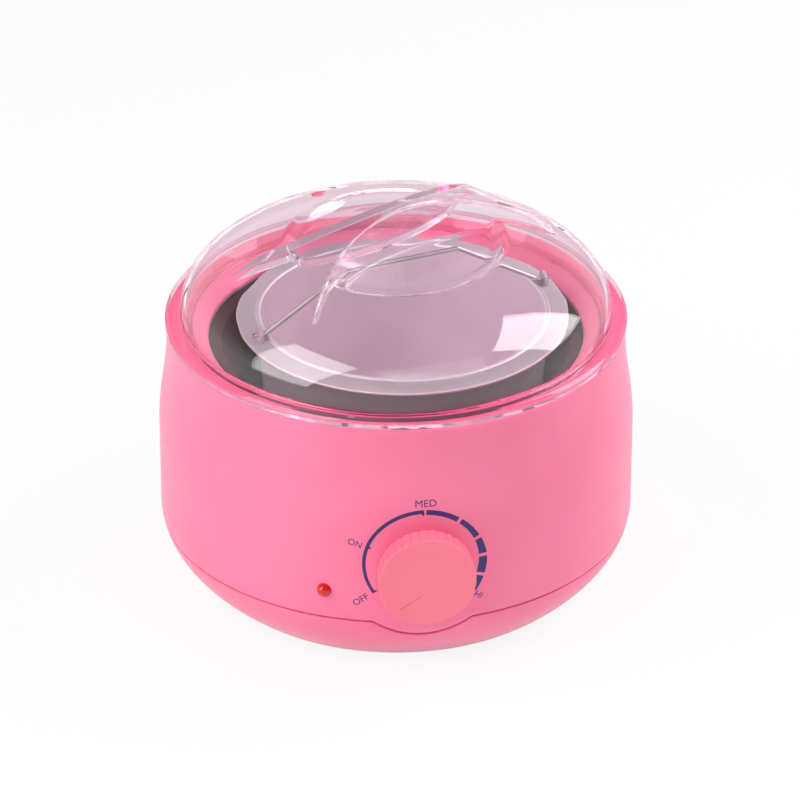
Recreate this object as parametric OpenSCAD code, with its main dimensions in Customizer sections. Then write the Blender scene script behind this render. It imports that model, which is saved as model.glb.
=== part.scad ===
// Depilatory wax heater: a round moulded shell with a heated well, a lift-out wax pot with a wire
// bail, a clear domed lid with a waisted grip, and a front dial that turns a thermostat.
// Millimetres, +Z up, origin on the body axis at table height, front dial towards -Y.

/* [Body shell] */
// Widest radius of the shell
body_r = 90; // [86:0.5:96]
// Draw-in of the bowl from its widest radius to the standing rim
foot_inset = 20.1; // [16:0.1:24]
// Height at which the bowl reaches its widest radius
bowl_h = 30; // [28:0.5:34]
// Draw-in of the neck under the lid
neck_draw = 3.4; // [2:0.1:4.2]
// Height where the wall starts to draw in to the neck
neck_from_z = 64; // [60:1:70]
// Height of the straight band between neck and lip
neck_band_h = 5; // [4:0.5:13]
// Height of the flat lip that the lid rests on
lip_z = 105; // [104:0.5:110]
// Wall of the shell and of the base pan
shell_wall = 2.4; // [2:0.1:3]
// Thickness of the lip's top
lip_t = 2; // [1.6:0.1:2.6]
// Height of the parting line between shell and base pan
part_z = 25.4; // [23:0.1:28]
// Depth of the dip in the parting line under the dial
bib_drop = 6.8; // [3:0.1:8]
// Width of that dip
bib_w = 37; // [28:1:44]

/* [Funnel] */
// Width of the lip's flat top
lip_w = 6.4; // [5:0.1:7]
// Height of the steep band below the lip
funnel_band_h = 2.5; // [2:0.1:3]
// How far the steep band draws in
funnel_draft = 1; // [0.5:0.1:1.5]
// How far the funnel reaches in from the lip
funnel_reach = 9.4; // [8:0.1:11]
// Drop from the lip to the funnel's lower edge
funnel_drop = 5.6; // [4.5:0.1:7]
// Wall of the funnel
funnel_t = 2; // [1.6:0.1:2.6]
// Width of the flat land under the funnel's lower edge
funnel_land = 4.7; // [4:0.1:5.5]

/* [Base pan] */
// Height of the floor's underside above the table
floor_z = 3; // [2.6:0.1:4]
// Thickness of the floor
floor_t = 2.4; // [2:0.1:3]
// Width of the standing rim
rim_w = 3.5; // [3:0.1:5]
// Height of the tongue that locates the pan inside the shell
tongue_h = 4; // [2:0.5:6]
// Thickness of the tongue
tongue_t = 1.6; // [1.2:0.1:2]
// Number of vent slots in the floor
vent_count = 12; // [6:1:16]
// Length of a vent slot
vent_l = 11; // [6:1:14]
// Width of a vent slot
vent_w = 2.5; // [1.5:0.5:3.5]
// Radius at which the vent slots start
vent_from_r = 12; // [10:1:14]
// Radius of a rubber foot
foot_pad_r = 5; // [4:0.5:6]
// Distance of the feet inside the standing rim's radius
foot_pad_inset = 11.9; // [10:0.1:15]
// Radius of a foot's peg
foot_peg_r = 2; // [1.5:0.1:2.5]

/* [Fasteners] */
// Shank radius of the tapping screws
screw_r = 1.65; // [1.4:0.05:1.9]
// Head radius of the tapping screws
screw_head_r = 3; // [2.6:0.1:3.3]
// Head height of the tapping screws
screw_head_h = 2; // [1.6:0.1:2.2]
// Length of the base screws under the head
base_screw_l = 15; // [12:1:18]
// Length of the support posts' screws under the head
post_screw_l = 12; // [8:1:14]
// Distance of the base screws inside the standing rim's radius
base_screw_inset = 6.9; // [6:0.1:9]
// Outer radius of a screw boss
boss_r = 4.6; // [4.2:0.1:5]
// Height where the pan's bosses meet the shell's bosses
boss_split_z = 12; // [10:0.5:14]
// Height of the shell's bosses and of the ribs that carry them
boss_top_z = 42; // [38:1:43]
// Thickness of a boss rib
boss_rib_t = 3; // [2:0.5:4]
// Height of a boss rib
boss_rib_h = 12; // [8:1:14]

/* [Heated well] */
// Distance from the funnel's lower edge in to the well's wall
well_inset = 10.8; // [9.8:0.1:13]
// Wall of the well
well_wall = 1.5; // [1.2:0.1:2]
// Height of the well's floor
well_floor_z = 47; // [46:0.5:49]
// Thickness of the well's floor
well_floor_t = 2; // [1.5:0.1:2.5]
// Height of the flare at the well's mouth
well_flare_h = 10; // [7:0.5:12]
// How far the flare widens the well's mouth
well_flare_w = 6; // [4:0.5:7.5]
// Thickness of the gasket between funnel and well
gasket_t = 1.5; // [1:0.1:2]
// Radius of the welded stud under the well
stud_r = 2.5; // [2:0.1:3]
// Length of that stud
stud_l = 11.5; // [10.5:0.5:12]
// Distance of the heating plate's edge inside the well's wall
heater_inset = 14; // [12:0.5:18]
// Thickness of the heating plate
heater_t = 4; // [3:0.1:5]
// Distance of the clamping plate's edge inside the heating plate's
clamp_inset = 8; // [4:0.5:12]
// Thickness of that plate
clamp_t = 1.5; // [1:0.1:2]
// Height of the clamp nut
clamp_nut_h = 4; // [3:0.1:4.5]
// Radius across the corners of the clamp nut
nut_corner_r = 4.6; // [4.2:0.1:5.2]
// Distance of the heat shield's edge inside the well's wall
shield_inset = 4; // [3:0.5:6]
// Thickness of the heat shield
shield_t = 1; // [0.8:0.1:1.5]
// Drop of the heat shield below the well
shield_drop = 15; // [14:0.5:17]
// Distance of the support posts inside the heat shield's edge
post_inset = 3; // [2.5:0.5:4.5]
// Radius of a support post below the shield
post_r = 4; // [3.6:0.1:4.5]
// Radius of a support post above the shield
post_neck_r = 2.8; // [2.4:0.1:3]

/* [Wax pot] */
// Room between the well's wall and the pot's inside
pot_room = 6.5; // [5.5:0.1:9]
// Draw-in of the pot's wall from rim to floor
pot_taper = 3; // [1:0.1:5]
// Wall of the pot
pot_wall = 1.2; // [1:0.1:1.6]
// Radius of the corner at the pot's floor
pot_corner_r = 8; // [4:0.5:12]
// How far the pot's rim bead stands above the lip
pot_proud = 3.6; // [1:0.1:4]
// Width of the pot's flange
pot_flange_w = 9.1; // [8:0.1:10.5]
// Fall of the flange from bead to edge
pot_flange_fall = 1.6; // [0.8:0.1:2.5]
// How far the pot stands off the body axis in its loose well
pot_shift = 2.6; // [0:0.1:3.5]
// Diameter of the bail wire
wire_d = 1.8; // [1.4:0.1:2.2]
// Distance of the bail's ears inside the flange's edge
ear_inset = 4.6; // [3.6:0.1:5]
// Width of an ear
ear_w = 6; // [5:0.1:7]
// Thickness of an ear
ear_t = 1.2; // [1:0.1:1.6]
// Height of the bail's pivot above the pot's rim
bail_pivot_h = 1.2; // [1.2:0.1:2]
// Rise of the bail from pivot to grip
bail_rise = 19.5; // [16:0.5:20.5]
// Length of the bail's straight grip
bail_grip_l = 45; // [36:1:54]
// Direction of the bail's pivot line, from +X
bail_angle = 16.5; // [0:0.5:40]

/* [Lid] */
// How far the lid's flange stands out past the neck
lid_proud = 0.4; // [0:0.1:1.4]
// Height of the lid's flange
lid_flange_h = 3.6; // [3:0.1:4.5]
// Wall of the lid
lid_wall = 2; // [1.6:0.1:2.4]
// Width of the lid's flange outside the dome
lid_flange_w = 5.7; // [4.5:0.1:6.5]
// Height of the dome above its foot
dome_h = 35.3; // [34.5:0.1:37]
// Depth of the skirt that centres the lid in the funnel
skirt_h = 2; // [1.5:0.1:2.2]
// Height of the grip's crest above the dome
crest_rise = 8.7; // [7.5:0.1:9.5]
// Radius of the crest's arch as a share of the dome's radius
crest_arch_share = 1.241; // [1.2:0.001:1.3]
// Turn of the crest's arch from the grip's direction
crest_arch_skew = 7; // [0:0.5:9]
// Radius of the cap that brings the grip's ends down, as a share of the dome's radius
grip_cap_share = 0.972; // [0.95:0.001:1]
// Height of that cap's top above the crest
grip_cap_rise = 8.7; // [7:0.1:10]
// Half width of the grip's crest at its waist
waist_half = 3.6; // [3:0.1:4.2]
// Half width of the grip at the floor of the finger scoops
grip_foot_half = 5.1; // [4.4:0.1:7]
// Radius of the scoops' walls along the grip
scoop_wall_r = 97; // [88:1:105]
// Radius of the scoop floors as a share of the dome's radius
scoop_floor_share = 0.443; // [0.41:0.001:0.455]
// Depth of the scoop floors below the dome's top
scoop_drop = 8.6; // [7.8:0.1:9.5]
// Spread of the scoop's rim for each millimetre of height
scoop_flare = 1.1; // [0.9:0.1:1.4]
// Direction of the grip, from +X
grip_angle = 32.6; // [0:0.1:90]
// Radius of the steam vent
steam_vent_r = 2.8; // [2:0.1:3.5]
// Distance of the steam vent from the axis as a share of the dome's radius
steam_vent_share = 0.652; // [0.62:0.001:0.69]
// Direction of the steam vent from the grip
steam_vent_angle = 85; // [70:1:110]

/* [Dial and thermostat] */
// Height of the dial's axis above the well's floor
knob_rise = 3; // [1:0.5:7]
// Radius of the dial
knob_r = 18.4; // [16:0.05:20]
// Depth of the dial with its hub
knob_h = 12.4; // [11:0.1:15]
// Depth of the dial's fluted rim
knob_rim_h = 5.8; // [5:0.1:7]
// Rounding of the rim's front edge
knob_edge = 2; // [1:0.1:2.5]
// Radius of the hub behind the rim
knob_hub_r = 13.6; // [12:0.1:14.5]
// Number of flutes round the dial
flute_count = 50; // [24:1:54]
// Radius of a flute
flute_r = 0.55; // [0.4:0.05:0.8]
// Wall of the dial
knob_wall = 2.2; // [1.8:0.1:3]
// Depth of the pointer line in the dial's face
pointer_depth = 0.6; // [0.3:0.1:1]
// Outer radius of the dial's boss
knob_boss_r = 5; // [4.4:0.1:6]
// Gap between the shell and the dial's back edge
knob_gap = 0.6; // [0.4:0.1:1]
// Direction in which the pointer rests, from +X towards +Z
off_angle = 213; // [180:1:240]
// Length of the pointer line in the dial's face
pointer_l = 9.1; // [6:0.1:10]
// Start of the pointer line along its direction from the dial's axis
pointer_from = 4.9; // [0:0.1:5]
// Distance of the pointer line beside the dial's axis
pointer_off = 3.5; // [0:0.1:4]
// Width of the pointer line
pointer_w = 0.5; // [0.3:0.1:1]
// Radius of the thermostat's shaft
shaft_r = 3; // [2.5:0.1:3.2]
// Depth of the flat on the shaft
shaft_flat = 1; // [0.5:0.1:1.4]
// Radius of the ceramic core
core_r = 9; // [8:0.1:10]
// Length of the ceramic core
core_l = 10; // [8:0.5:11]
// Thickness of the core left behind the shaft's end
core_web_t = 1; // [0.7:0.1:1.5]
// Radius of the shaft bushing
bushing_r = 5; // [4.4:0.1:5.6]
// Thickness of the saddle between well and thermostat
saddle_t = 4.5; // [3.5:0.1:5]
// Width of the saddle
saddle_w = 22; // [20:0.5:26]
// Height of the saddle
saddle_h = 18; // [16:0.5:20]
// Thickness of the thermostat's frame plate
frame_t = 2; // [1.5:0.1:2.5]
// Spacing of the frame's screws
frame_screw_gap = 14; // [13:0.5:15]

/* [Indicator and inlet] */
// Angle of the indicator to the left of the dial
lens_angle = 23.6; // [18:0.1:30]
// Drop of the indicator below the dial's axis
lens_drop = 12.6; // [8:0.1:15]
// Radius of the lens
lens_r = 2.65; // [2:0.05:3]
// Radius of the lens's collar inside the wall
lens_collar_r = 3.4; // [3.2:0.05:4]
// Length of that collar
lens_collar_t = 3; // [2:0.1:4]
// Radius of the neon lamp
lamp_r = 2.4; // [2:0.1:2.6]
// Length of the lamp holder
holder_l = 15; // [13:0.5:18]
// Wall of the lamp holder
holder_wall = 1; // [0.8:0.1:1.5]
// Height of the cord inlet at the back
inlet_z = 38; // [36:0.5:46]
// Radius of the cord inlet's bore
inlet_bore_r = 3.5; // [3:0.1:4]
// Radius of the inlet's barrel through the wall
inlet_barrel_r = 5.9; // [5.2:0.1:6.5]
// Radius of the inlet's outer flange
inlet_flange_r = 8; // [7.5:0.1:9]
// Thickness of the inlet's outer flange
inlet_flange_t = 5; // [3:0.5:6]

/* [Wiring pieces] */
// Length of the terminal block
block_l = 30; // [24:1:32]
// Width of the terminal block
block_w = 16; // [12:0.5:18]
// Height of the terminal block
block_h = 13; // [10:0.5:15]
// Distance of the terminal block behind the cord clamp
block_gap = 24; // [22:0.5:26]
// Distance of the cord clamp inside the standing rim's radius
cord_clamp_inset = 9.9; // [8:0.1:12]
// Height of the bosses under the cord clamp
cord_clamp_h = 6; // [5:0.5:8]
// Thickness of the cord clamp's bar
cord_bar_t = 3; // [2.4:0.1:4]
// Width of the cord clamp's bar
cord_bar_w = 8; // [7:0.5:10]
// Radius of the wire holes in the terminal block
wire_hole_r = 2; // [1.5:0.1:2.2]
// Radius of a terminal screw
terminal_screw_r = 2.5; // [2:0.1:3]
// Width of a push-on tab
tab_w = 6.3; // [4.8:0.1:6.5]
// Thickness of a push-on tab
tab_t = 0.8; // [0.5:0.1:1]
// Length of a push-on tab
tab_l = 8; // [5:0.5:9]
// Length of the thermal fuse's case
fuse_l = 22; // [16:1:24]
// Width of the thermal fuse's case
fuse_w = 8; // [6:0.5:10]
// Height of the thermal fuse's case
fuse_h = 5.5; // [4.5:0.5:6]
// Distance of the thermal fuse inside the clamping plate's edge
fuse_inset = 6; // [3:0.5:8]

/* [Clearances] */
// Gap between pieces that only rest on each other
seat_gap = 0.2; // [0.1:0.05:0.3]
// Radial clearance of the turning shaft and the bail wire
run_gap = 0.05; // [0.02:0.01:0.08]
// Radial clearance of pieces that locate in each other
locate_gap = 0.3; // [0.2:0.05:0.5]
// Radial clearance of a screw in its thread
thread_gap = 0.05; // [0.02:0.01:0.08]
// Radial clearance of a screw in its passing hole
pass_gap = 0.25; // [0.15:0.05:0.4]
// Space left past a screw's tip
tip_gap = 1; // [0.5:0.1:1.5]

/* [Hidden] */
$fn = 96;
far = 400;
eps = 0.01;

// Radii worked out from the widest radius inwards
foot_r = body_r - foot_inset;
neck_r = body_r - neck_draw;
lip_in_r = neck_r - lip_w;
funnel_low_r = lip_in_r - funnel_reach;
well_r = funnel_low_r - well_inset;
well_mouth_r = well_r + well_flare_w;
heater_r = well_r - heater_inset;
clamp_r = heater_r - clamp_inset;
shield_r = well_r - shield_inset;
post_ring_r = shield_r - post_inset;
foot_ring_r = foot_r - foot_pad_inset;
base_screw_ring_r = foot_r - base_screw_inset;
pot_r = well_r - pot_room;
pot_flange_r = pot_r + pot_flange_w;
ear_r = pot_flange_r - ear_inset;
lid_r = neck_r + lid_proud;
dome_r = lid_r - lid_flange_w;
crest_arch_r = dome_r * crest_arch_share;
grip_cap_r = dome_r * grip_cap_share;
scoop_floor_r = dome_r * scoop_floor_share;
steam_vent_at_r = dome_r * steam_vent_share;
cord_clamp_y = foot_r - cord_clamp_inset;
block_y = cord_clamp_y - block_gap;

// Heights worked out from the driving sizes
neck_to_z = lip_z - neck_band_h;
knob_z = well_floor_z + knob_rise;
lens_z = knob_z - lens_drop;
pot_rim_z = lip_z + pot_proud;
floor_top_z = floor_z + floor_t;
funnel_low_z = lip_z - funnel_drop;
land_z = funnel_low_z - funnel_t;
gasket_in_r = funnel_low_r + locate_gap;
gasket_out_r = funnel_low_r + funnel_land - locate_gap;
well_top_z = land_z - gasket_t;
well_out_r = well_r + well_wall;
well_under_z = well_floor_z - well_floor_t;
shield_z = well_under_z - shield_drop;
heater_z = well_under_z - heater_t;
clamp_z = heater_z - clamp_t;
clamp_nut_z = clamp_z - clamp_nut_h;
pot_foot_z = well_floor_z + seat_gap;
pot_edge_z = pot_rim_z - pot_flange_fall;
bail_z = pot_rim_z + bail_pivot_h;
wire_r = wire_d / 2;
lid_z = lip_z + seat_gap;
dome_z = lid_z + lid_flange_h;
crest_z = dome_z + dome_h + crest_rise;
scoop_floor_z = dome_z + dome_h - scoop_drop;
skirt_r = lip_in_r - funnel_draft - locate_gap;
saddle_z = well_floor_z;
saddle_y = well_out_r + saddle_t;
frame_y = saddle_y + frame_t;
core_y = frame_y + core_l;
inner_wall_r = body_r - shell_wall;
bushing_y = inner_wall_r - locate_gap;
knob_back_y = body_r + knob_gap;
knob_front_y = knob_back_y + knob_h;
knob_face_t = pointer_depth + knob_wall;
shaft_in_y = frame_y + core_web_t;
shaft_out_y = knob_front_y - knob_face_t - locate_gap;
frame_screw_z = saddle_z + saddle_h - screw_head_r - locate_gap;
holder_r = lens_collar_r + run_gap + holder_wall;
base_screw_head_z = boss_split_z - screw_head_r;
cord_screw_x = inlet_bore_r + boss_r;
tongue_r = shell_r(part_z) - shell_wall - locate_gap;

// Rings of repeated pieces
corner_angles = [45 : 90 : 315];
foot_angles = [15 : 90 : 285];
post_angles = [60 : 120 : 300];

// Radius of the moulded outside at a height: a parabola for the bowl, a straight side, a soft neck
function shell_r(z) =
    z < bowl_h ? foot_r + (body_r - foot_r) * (1 - pow(1 - z / bowl_h, 2))
    : z < neck_from_z ? body_r
    : z < neck_to_z ? neck_r + (body_r - neck_r)
        * (1 + cos(180 * (z - neck_from_z) / (neck_to_z - neck_from_z))) / 2
    : neck_r;

// Evenly spaced heights from a to b
function heights(a, b, n) = [for (i = [0 : n]) a + (b - a) * i / n];

// Heights at which the shell's curve is sampled between two levels
function shell_levels(a, b) = concat(
    heights(a, bowl_h, 8),
    heights(neck_from_z, neck_to_z, 10),
    [b]);

// Outline of the dome: a soft superellipse from foot to top
function dome_outline(r, z, h) = [for (i = [0 : 20])
    let (t = sin(90 * i / 20)) [r * pow(1 - pow(t, 2.4), 0.588), z + h * t]];

function reversed(list) = [for (i = [len(list) - 1 : -1 : 0]) list[i]];

// A quarter arc in the r-z plane
function arc(cr, cz, r, a0, a1, n) = [for (i = [0 : n])
    let (a = a0 + (a1 - a0) * i / n) [cr + r * cos(a), cz + r * sin(a)]];

module ring(r_out, r_in, h) {
    difference() {
        cylinder(r = r_out, h = h);
        translate([0, 0, -1]) cylinder(r = r_in, h = h + 2);
    }
}

// Places children at a radius on each angle of a list
module around(angles, r) {
    for (a = angles) rotate([0, 0, a]) translate([r, 0, 0]) children();
}

// Points local +Z out through the wall at the front
module facing_front(y, z) {
    translate([0, -y, z]) rotate([90, 0, 0]) children();
}

// Points local +Z out through the wall at the indicator
module facing_lens(r) {
    rotate([0, 0, -90 - lens_angle]) translate([r, 0, lens_z]) rotate([0, 90, 0]) children();
}

// Points local +Z out through the wall at the back
module facing_back(y, z) {
    translate([0, y, z]) rotate([-90, 0, 0]) children();
}

// A tapping screw pointing up, its head's bearing face at height 0, with a cross recess below
module screw(length) {
    slot_w = screw_r * 0.5;
    slot_l = screw_head_r * 1.2;
    difference() {
        translate([0, 0, -screw_head_h]) cylinder(r = screw_head_r, h = screw_head_h);
        for (a = [0, 90]) rotate([0, 0, a])
            translate([-slot_l / 2, -slot_w / 2, -screw_head_h - 1])
                cube([slot_l, slot_w, 1 + screw_head_h / 2]);
    }
    translate([0, 0, -eps]) cylinder(r = screw_r, h = length + eps);
}

// The part of the front wall that hangs below the parting line, grown by a gap
module bib_prism(gap) {
    half = bib_w / 2 + gap;
    outline = concat(
        [for (i = [0 : 24]) let (x = -half + 2 * half * i / 24)
            [x, part_z - gap - bib_drop * (1 - pow(x / half, 2))]],
        [[half, part_z + tongue_h + 1], [-half, part_z + tongue_h + 1]]);
    translate([0, -foot_r / 2, 0]) rotate([90, 0, 0])
        linear_extrude(height = body_r) polygon(outline);
}

module outer_housing() {
    low_z = part_z - bib_drop;
    levels = shell_levels(low_z, lip_z);
    outline = concat(
        [for (z = levels) [shell_r(z), z]],
        [[lip_in_r, lip_z], [lip_in_r, lip_z - lip_t], [neck_r - shell_wall, lip_z - lip_t]],
        reversed([for (z = levels) if (z < lip_z - lip_t - 1) [shell_r(z) - shell_wall, z]]));
    color("hotpink") difference() {
        rotate_extrude() polygon(outline);
        difference() {
            translate([0, 0, low_z - 1]) cylinder(r = body_r + 5, h = bib_drop + 1);
            bib_prism(0);
        }
        facing_front(body_r - 4 * shell_wall, knob_z)
            cylinder(r = shaft_r + 4 * locate_gap, h = 8 * shell_wall);
        facing_lens(inner_wall_r - shell_wall) cylinder(r = lens_r + run_gap, h = 4 * shell_wall);
        facing_back(inner_wall_r - shell_wall, inlet_z)
            cylinder(r = inlet_barrel_r + run_gap, h = 4 * shell_wall);
    }
}

// The funnel inside the lip, moulded with the shell and kept as its own ring
module funnel_ring() {
    out_r = lip_in_r - run_gap;
    color("lightpink") rotate_extrude() polygon([
        [out_r, lip_z],
        [lip_in_r - funnel_draft, lip_z - funnel_band_h],
        [funnel_low_r, funnel_low_z],
        [funnel_low_r, land_z],
        [funnel_low_r + funnel_land, land_z],
        [out_r, lip_z - funnel_band_h - funnel_t]]);
}

// The posts inside the shell that take the base screws, each with a rib out to the wall
module screw_bosses() {
    color("pink") difference() {
        intersection() {
            around(corner_angles, base_screw_ring_r) {
                translate([0, 0, boss_split_z + seat_gap])
                    cylinder(r = boss_r, h = boss_top_z - boss_split_z - seat_gap);
                translate([0, -boss_rib_t / 2, boss_top_z - boss_rib_h])
                    cube([body_r - base_screw_ring_r, boss_rib_t, boss_rib_h]);
            }
            cylinder(r = inner_wall_r - run_gap, h = boss_top_z + 1);
        }
        around(corner_angles, base_screw_ring_r)
            translate([0, 0, boss_split_z - 1]) cylinder(r = screw_r + thread_gap, h = base_screw_l);
    }
}

module base_pan() {
    top_z = part_z - seat_gap;
    levels = heights(0, top_z, 9);
    inner_levels = heights(floor_top_z, top_z - tongue_h, 6);
    outline = concat(
        [[0, floor_z], [foot_r - rim_w, floor_z], [foot_r - rim_w, 0]],
        [for (z = levels) [shell_r(z), z]],
        [[tongue_r, top_z], [tongue_r, top_z + tongue_h],
            [tongue_r - tongue_t, top_z + tongue_h], [tongue_r - tongue_t, top_z - 1]],
        reversed([for (z = inner_levels) [shell_r(z) - shell_wall - tongue_t / 2, z]]),
        [[0, floor_top_z]]);
    color("palevioletred") difference() {
        union() {
            rotate_extrude() polygon(outline);
            around(corner_angles, base_screw_ring_r) translate([0, 0, floor_z + eps])
                cylinder(r = boss_r, h = boss_split_z - floor_z - eps);
            // bosses that take the cord clamp's screws
            for (x = [-1, 1]) translate([x * cord_screw_x, cord_clamp_y, floor_top_z - eps])
                cylinder(r = boss_r, h = cord_clamp_h + eps);
        }
        bib_prism(seat_gap);
        around(corner_angles, base_screw_ring_r) {
            translate([0, 0, -1]) cylinder(r = screw_head_r + pass_gap, h = base_screw_head_z + 1);
            cylinder(r = screw_r + pass_gap, h = boss_split_z + 1);
        }
        around(post_angles, post_ring_r) cylinder(r = screw_r + pass_gap, h = floor_top_z + 1);
        around(foot_angles, foot_ring_r) cylinder(r = foot_peg_r + run_gap, h = floor_top_z + 1);
        around([for (i = [0 : vent_count - 1]) 360 * i / vent_count], vent_from_r)
            translate([0, -vent_w / 2, 0]) cube([vent_l, vent_w, floor_top_z + 1]);
        for (x = [-1, 1]) translate([x * cord_screw_x, cord_clamp_y, floor_top_z])
            cylinder(r = screw_r + thread_gap, h = cord_clamp_h + 1);
    }
}

module rubber_feet() {
    color("dimgray") around(foot_angles, foot_ring_r) {
        cylinder(r = foot_pad_r, h = floor_z);
        cylinder(r = foot_peg_r, h = floor_top_z);
    }
}

module base_screws() {
    color("silver") around(corner_angles, base_screw_ring_r)
        translate([0, 0, base_screw_head_z]) screw(base_screw_l);
}

module chamber_gasket() {
    color("black") translate([0, 0, well_top_z]) ring(gasket_out_r, gasket_in_r, gasket_t);
}

module heating_chamber() {
    flare_z = well_top_z - well_flare_h;
    corner = 3;
    outline = concat(
        [[0, well_under_z]],
        arc(well_out_r - corner, well_under_z + corner, corner, -90, 0, 4),
        [[well_out_r, flare_z + well_wall / 2],
            [well_mouth_r + well_wall / 2, well_top_z - well_wall],
            [gasket_out_r, well_top_z - well_wall],
            [gasket_out_r, well_top_z],
            [well_mouth_r, well_top_z],
            [well_r, flare_z]],
        reversed(arc(well_r - corner, well_floor_z + corner, corner, -90, 0, 4)),
        [[0, well_floor_z]]);
    color("darkslategray") {
        rotate_extrude() polygon(outline);
        translate([0, 0, well_under_z - stud_l]) cylinder(r = stud_r, h = stud_l + eps);
    }
}

module heater_plate() {
    color("rosybrown") difference() {
        union() {
            translate([0, 0, heater_z]) cylinder(r = heater_r, h = heater_t);
            for (a = [75, 105]) rotate([0, 0, a])
                translate([heater_r - 1, -tab_w / 2, heater_z + heater_t / 2])
                    cube([tab_l + 1, tab_w, tab_t]);
        }
        translate([0, 0, heater_z - 1]) cylinder(r = stud_r + pass_gap, h = heater_t + 2);
    }
}

module heater_clamp_plate() {
    color("silver") translate([0, 0, clamp_z]) ring(clamp_r, stud_r + pass_gap, clamp_t);
}

module clamp_nut() {
    color("gold") translate([0, 0, clamp_nut_z]) difference() {
        cylinder(r = nut_corner_r, h = clamp_nut_h, $fn = 6);
        translate([0, 0, -1]) cylinder(r = stud_r + thread_gap, h = clamp_nut_h + 2);
    }
}

module heat_shield() {
    color("silver") difference() {
        translate([0, 0, shield_z]) cylinder(r = shield_r, h = shield_t);
        around(post_angles, post_ring_r) translate([0, 0, shield_z - 1])
            cylinder(r = post_neck_r + run_gap, h = shield_t + 2);
    }
}

module support_posts() {
    color("lightsteelblue") around(post_angles, post_ring_r) difference() {
        union() {
            translate([0, 0, floor_top_z]) cylinder(r = post_r, h = shield_z - floor_top_z);
            translate([0, 0, floor_top_z]) cylinder(r = post_neck_r, h = well_under_z - floor_top_z);
        }
        translate([0, 0, floor_top_z - 1]) cylinder(r = screw_r + thread_gap, h = post_screw_l + 1);
    }
}

module post_screws() {
    color("silver") around(post_angles, post_ring_r) translate([0, 0, floor_z]) screw(post_screw_l);
}

module inner_pot() {
    pot_floor_r = pot_r - pot_taper;
    bead_r = 1;
    out_corner = pot_corner_r + pot_wall;
    outline = concat(
        [[0, pot_foot_z + pot_wall]],
        arc(pot_floor_r - pot_corner_r, pot_foot_z + out_corner, pot_corner_r, -90, 0, 6),
        [[pot_r, pot_rim_z - bead_r]],
        reversed(arc(pot_r + bead_r, pot_rim_z - bead_r, bead_r, 90, 180, 4)),
        [[pot_flange_r - bead_r, pot_edge_z]],
        reversed(arc(pot_flange_r - bead_r, pot_edge_z - bead_r, bead_r, -60, 80, 5)),
        [[pot_flange_r - 2 * bead_r, pot_edge_z - pot_wall],
            [pot_r + pot_wall + bead_r, pot_rim_z - bead_r - pot_wall],
            [pot_r + pot_wall, pot_rim_z - 2 * bead_r - pot_wall]],
        reversed(arc(pot_floor_r - pot_corner_r, pot_foot_z + out_corner, out_corner, -90, 0, 6)),
        [[0, pot_foot_z]]);
    ear_low_z = pot_edge_z - pot_wall / 2;
    color("gainsboro") translate([pot_shift, 0, 0]) difference() {
        union() {
            rotate_extrude() polygon(outline);
            around([bail_angle, bail_angle + 180], ear_r) {
                translate([-ear_t / 2, -ear_w / 2, ear_low_z])
                    cube([ear_t, ear_w, bail_z - ear_low_z]);
                translate([-ear_t / 2, 0, bail_z]) rotate([0, 90, 0])
                    cylinder(r = ear_w / 2, h = ear_t);
            }
        }
        around([bail_angle, bail_angle + 180], ear_r)
            translate([-ear_t, 0, bail_z]) rotate([0, 90, 0])
                cylinder(r = wire_r + run_gap, h = 2 * ear_t);
    }
}

// One straight length of wire between two points in the bail's own plane, with a round knuckle
module wire_run(a, b) {
    run = b - a;
    translate([a[0], 0, a[1]]) rotate([0, 90 - atan2(run[1], run[0]), 0])
        cylinder(r = wire_r, h = norm(run));
    translate([b[0], 0, b[1]]) sphere(r = wire_r + run_gap);
}

module pot_bail() {
    bend_r = ear_r - ear_t / 2 - wire_d;
    tip_r = ear_r + ear_t / 2 + wire_d;
    path = [[-tip_r, 0], [-bend_r, 0], [-bail_grip_l / 2, bail_rise],
        [bail_grip_l / 2, bail_rise], [bend_r, 0], [tip_r, 0]];
    color("silver") translate([pot_shift, 0, bail_z]) rotate([0, 0, bail_angle])
        for (i = [0 : len(path) - 2]) wire_run(path[i], path[i + 1]);
}

// The walls of the two finger scoops beside the grip, grown by a wall
module scoop_walls(grow) {
    reach = 20;
    lean = (grip_foot_half - waist_half) / (crest_z - scoop_floor_z);
    low_r = scoop_wall_r - lean * (crest_z - scoop_floor_z + reach);
    for (side = [-1, 1]) translate([0, side * (waist_half + scoop_wall_r), scoop_floor_z - reach])
        cylinder(r1 = low_r + grow, r2 = scoop_wall_r + lean * reach + grow,
            h = crest_z - scoop_floor_z + 2 * reach);
}

// Outside of dome and grip when grow is 0, and the hollow inside it when grow is the wall
module lid_form(grow) {
    flare_h = 20;
    difference() {
        union() {
            rotate_extrude() polygon(concat(
                [[0, dome_z - grow / 2], [dome_r - grow, dome_z - grow / 2]],
                dome_outline(dome_r - grow, dome_z, dome_h - grow)));
            difference() {
                intersection() {
                    translate([0, 0, crest_z - crest_arch_r]) rotate([0, 0, crest_arch_skew])
                        rotate([90, 0, 0]) cylinder(r = crest_arch_r - grow, h = far, center = true);
                    translate([0, 0, crest_z + grip_cap_rise - grip_cap_r])
                        sphere(r = grip_cap_r - grow);
                    translate([0, 0, dome_z + dome_h / 2]) cylinder(r = dome_r, h = far);
                }
                scoop_walls(grow);
            }
        }
        intersection() {
            scoop_walls(grow);
            translate([0, 0, scoop_floor_z - grow])
                cylinder(r1 = scoop_floor_r + grow, r2 = scoop_floor_r + grow + scoop_flare * flare_h,
                    h = flare_h);
        }
    }
}

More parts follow.
